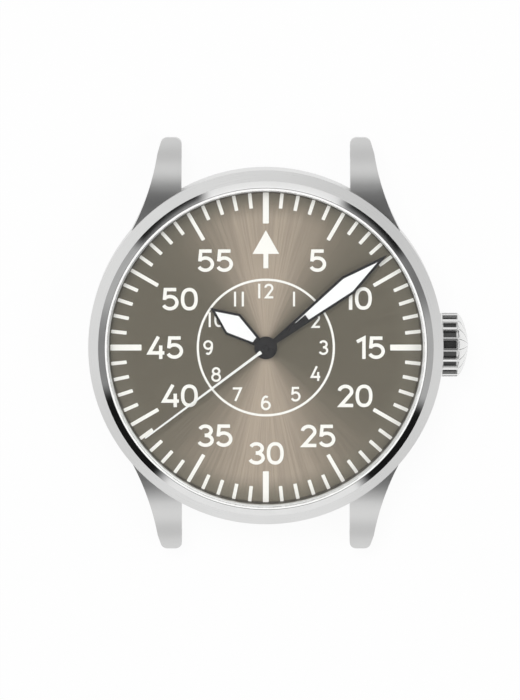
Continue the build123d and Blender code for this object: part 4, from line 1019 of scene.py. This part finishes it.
class DressCrown(bpy.types.Operator):
    """Cuts the fluted crown with its petalled cap"""
    bl_idname = "pilot_watch.dress_crown"
    bl_label = "Crown"

    # How far along the cap each row is, and its radius, both as shares
    cap_rows = (
        (0.0, 1.0), (0.12, 0.965), (0.25, 0.915), (0.38, 0.845), (0.5, 0.76), (0.62, 0.66), (0.72, 0.56),
        (0.81, 0.45), (0.89, 0.33), (0.95, 0.21), (0.985, 0.11), (1.0, 0.0),
    )
    cap_gap_mm = 0.08
    # In half ribs: a rib's top, the rounding of its flanks and the line between two petals
    rib_top, flank, petal_line = 0.36, 1 / 26, 0.2

    def execute(self, context):
        sizes, colours = settings().crown, settings().colours
        sector = self.sector(sizes)
        height = (CROWN_LOW.z + CROWN_HIGH.z) / 2
        crown = grown("fluted_crown", petals_tree(), {
            "Count": sizes.ribs, "Sector": sector, "Axis Height": height,
        }, self.finish(colours.steel, sizes, height), "crown")
        bpy.data.objects.remove(sector)
        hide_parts("crown")
        return {"FINISHED"}

    def finish(self, steel, sizes, height):
        """Satin steel, with painted shade: near black in the gaps between the ribs and grey along the lines
        between the petals of the cap.
        """
        f = Finish("crown_steel_fluted")
        radius, across, up, along = f.round_about((0, 0, height / MM), "X")
        grain = f.noise(f.vector(radius / 0.06, across * 3.0 + along / 0.05, up * 3.0), 3.0, 0.6)
        ribs_start, rim = (CROWN_LOW.x + sizes.collar) / MM, CROWN_HIGH.y / MM
        ribs_end = ribs_start + sizes.flute_length / MM
        cap_start = ribs_end + self.cap_gap_mm
        ribs = f.between(along, ribs_start + 0.02, ribs_start + 0.14) * (
            1.0 - f.between(along, ribs_end - 0.18, ribs_end - 0.06))
        # Painted shade: the gaps between the ribs are painted near black, as shade in the recesses
        gap_painted_shade = (1.0 - f.between(radius, rim - 0.42, rim - 0.16)) * ribs
        turn = f.maths("ARCTAN2", up, across) - FIRST_RIB * 2 * math.pi / sizes.ribs
        # Painted shade: the grooves between the petals of the cap are painted grey, as shade in the creases
        line = 1.0 - f.between(abs(f.maths("SINE", turn * (sizes.ribs / 2))), 0.05, 0.16)
        line = line * f.between(along, cap_start + 0.01, cap_start + 0.09)
        shade = f.mix(line * 0.95, f.shades(grain, steel, 1.05, 1.3), (0.2, 0.2, 0.2))
        shade = f.mix(gap_painted_shade * 0.9, shade, (0.04, 0.04, 0.04))
        return f.metal(shade, 0.22 + grain * 0.08 + gap_painted_shade * 0.2, grain, 0.001)

    def sector(self, sizes):
        """One rib, from the middle of one gap to the middle of the next, and a petal line on its cap."""
        base, tip, radius = CROWN_LOW.x, CROWN_HIGH.x, CROWN_HIGH.y
        ribs_start = base + sizes.collar
        ribs_end = ribs_start + sizes.flute_length
        cap_start = ribs_end + self.cap_gap_mm * MM
        well, collar = base + sizes.well_depth, radius - 0.03 * MM
        chamfer, step = 0.12 * MM, 0.02 * MM
        profile = [
            (well, 0.0, "plain"), (well, sizes.well_radius, "plain"), (base, sizes.well_radius, "plain"),
            (base, radius - 0.14 * MM, "plain"), (base + chamfer, collar, "plain"),
            (ribs_start - step, collar, "plain"), (ribs_start, radius, "rib"),
            (ribs_end - chamfer, radius, "rib"), (ribs_end, radius - step, "rib"),
            (ribs_end + step, collar, "plain"),
        ]
        for share, reach in self.cap_rows:
            kind = "petal" if share else "plain"
            profile.append((cap_start + (tip - cap_start) * share, (radius - 0.04 * MM) * reach, kind))
        across = 24
        half = math.pi / sizes.ribs
        points = []
        for x, r, kind in profile:
            for i in range(across + 1):
                share = 2.0 * i / across - 1.0
                here = r
                if kind == "rib":
                    here = r - sizes.flute_depth / (1.0 + math.exp((self.rib_top - abs(share)) / self.flank))
                elif kind == "petal":
                    line = math.exp(-((share / self.petal_line) ** 2))
                    here = r - sizes.petal_depth * line * min(1.0, r / (0.4 * radius))
                angle = share * half
                points.append((x, here * math.cos(angle), here * math.sin(angle)))
        row = across + 1
        starts = [j * row + i for j in range(len(profile) - 1) for i in range(across)]
        return drafted("crown_sector", points, [(a, a + 1, a + row + 1, a + row) for a in starts])


class DressMovement(bpy.types.Operator):
    """Finishes the plates, wheels, springs and stones of the movement"""
    bl_idname = "pilot_watch.dress_movement"
    bl_label = "Movement"

    gilt = ("barrel", "barrel_cover", "centre_wheel", "third_wheel", "fourth_wheel", "minute_wheel",
            "hour_wheel", "balance_wheel")
    steel = ("barrel_arbor", "ratchet_wheel", "ratchet_screw", "crown_wheel", "crown_wheel_screw",
             "setting_wheel", "escape_wheel", "cannon_pinion")
    stem_steel = ("stem", "clutch", "winding_pinion")
    stripe_turn = (0, 0, 35)

    def execute(self, context):
        colours = settings().colours
        dress(self.striped("bridge_nickel", colours.nickel), "barrel_bridge", "train_bridge", "balance_cock")
        dress(self.grained("plate_nickel", colours.nickel), "main_plate")
        for nodes, metal, colour, axis, pitch_mm, rough in (
            (self.gilt, "gilt", colours.brass, "Z", 0.05, 0.28),
            (self.steel, "steel", colours.steel, "Z", 0.04, 0.2),
            (self.stem_steel, "steel", colours.steel, "X", 0.05, 0.22),
        ):
            for name in nodes:
                low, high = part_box(name)
                middle = (low + high) / 2 / MM
                dress(turned(f"{name}_{metal}", colour, middle, axis, pitch_mm, rough), name)
        dress(brushed("fork_steel", colours.steel, (0.02, 1.0, 0.02), 0.2, 0.001), "pallet_fork")
        blue = brushed("spring_blue", colours.blued, (0.5, 0.5, 0.02), 0.18, 0.001)
        dress(blue, "hairspring", "mainspring")
        dress(stone("pallet_ruby"), "pallet_stones")
        return {"FINISHED"}

    def striped(self, name, colour):
        """Nickel plate with broad brushed stripes across it."""
        f = Finish(name)
        across = f.split(f.place(turn_deg=self.stripe_turn))[0]
        stripe = f.maths("PINGPONG", across, 0.75) / 0.75
        grain = f.noise(f.place((1.4, 0.03, 1.4), turn_deg=self.stripe_turn), 3.0, 0.6)
        shade = f.shades(stripe * 0.7 + grain * 0.3, colour, 0.82, 1.15)
        return f.metal(shade, 0.24 + stripe * 0.1 + grain * 0.06, stripe * 0.6 + grain * 0.4, 0.004)

    @staticmethod
    def grained(name, colour):
        """Nickel plate with overlapping spots of round graining."""
        f = Finish(name)
        sockets = {"Vector": f.place(), "Scale": 1.1, "Randomness": 0.15}
        spots = f.pick("ShaderNodeTexVoronoi", {"feature": "F1"}, sockets)
        rings = f.maths("SINE", spots * 60.0) * 0.5 + 0.5
        return f.metal(f.shades(rings, colour, 0.85, 1.1), 0.28 + rings * 0.08, rings, 0.002)


class FitJewels(bpy.types.Operator):
    """Sets the jewels and the slotted screws in the bridges"""
    bl_idname = "pilot_watch.fit_jewels"
    bl_label = "Jewels and screws"

    # Middles of the jewels and the screws, in mm, and the turn from each screw's slot to the next
    jewel_places = ((0.0, 0.0), (-4.136, -0.729), (1.087, -4.057), (-0.899, -5.448), (-3.983, -6.757))
    screw_places = ((9.5, 5.4), (-2.0, 10.5), (9.3, -5.2), (-10.3, 3.5), (-9.6, -4.8), (3.2, -10.3))
    slot_turn = 1.1

    def execute(self, context):
        sizes = settings().movement
        face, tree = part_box("train_bridge")[0].z, spread_tree()
        low, back, edge = face - sizes.jewel_rise, face + sizes.sink, 0.6 * sizes.jewel_rise
        jewel = ring_shell([
            (sizes.jewel_hole, low), (sizes.jewel_radius - edge, low), (sizes.jewel_radius, low + edge),
            (sizes.jewel_radius, back), (sizes.jewel_hole, back),
        ], 32)
        self.spread("bridge_jewels", self.jewel_places, jewel, 0.0, tree, stone("jewel_ruby"), "ruby")
        low, radius, half_slot = face - sizes.screw_rise, sizes.screw_radius, sizes.slot_width / 2
        start = math.degrees(math.asin(half_slot / radius))
        floor = low + sizes.slot_depth
        head = [slab(arc(0, 0, radius, radius, 0, 360, 32)[:-1], floor, back)]
        for turn in (0, 180):
            cheek = arc(0, 0, 0.96 * radius, 0.96 * radius, start + turn, 180 - start + turn, 14)
            head.append(slab(cheek, low, floor + sizes.sink))
        blue = polished("screw_blue", settings().colours.blued, 0.16)
        self.spread("bridge_screws", self.screw_places, together(head), self.slot_turn, tree, blue,
                    "movement_steel")
        return {"FINISHED"}

    @staticmethod
    def spread(name, places_mm, shape, turn, tree, material, slot):
        """Sets one shape at each of the places."""
        places = drafted(name + "_places", [(x * MM, y * MM, 0.0) for x, y in places_mm], [])
        piece = drafted(name + "_piece", *shape)
        grown(name, tree, {"Places": places, "Piece": piece, "Turn": turn}, material, "case")
        for helper in (places, piece):
            bpy.data.objects.remove(helper)


STEPS = (
    DressStage, DressCase, DressBezel, DressCrystal, DressBack, DressDial, PrintTrack, PrintFigures,
    DressHands, DressCrown, DressMovement, FitJewels,
)


class WatchPanel(bpy.types.Panel):
    """Lists the steps and the settings of the watch."""
    bl_idname = "VIEW3D_PT_pilot_watch"
    bl_label = "Pilot Watch"
    bl_space_type = "VIEW_3D"
    bl_region_type = "UI"
    bl_category = "Pilot Watch"

    def draw(self, context):
        for step in STEPS:
            self.layout.operator(step.bl_idname)
        for part in ("dial", "case", "crown", "movement", "colours", "studio"):
            group = getattr(settings(), part)
            box = self.layout.box()
            for name in group.bl_rna.properties.keys():
                if name not in ("rna_type", "name"):
                    box.prop(group, name)


GROUPS = (DialSizes, CaseSizes, CrownSizes, MovementSizes, Colours, Studio, WatchSettings)


def register():
    for cls in (*GROUPS, *STEPS, WatchPanel):
        bpy.utils.register_class(cls)
    bpy.types.Scene.pilot_watch = PointerProperty(type=WatchSettings)


def unregister():
    del bpy.types.Scene.pilot_watch
    for cls in reversed((*GROUPS, *STEPS, WatchPanel)):
        bpy.utils.unregister_class(cls)


def main():
    """Runs every step in order."""
    register()
    for step in STEPS:
        group, name = step.bl_idname.split(".")
        getattr(getattr(bpy.ops, group), name)()


if __name__ == "__main__":
    main()
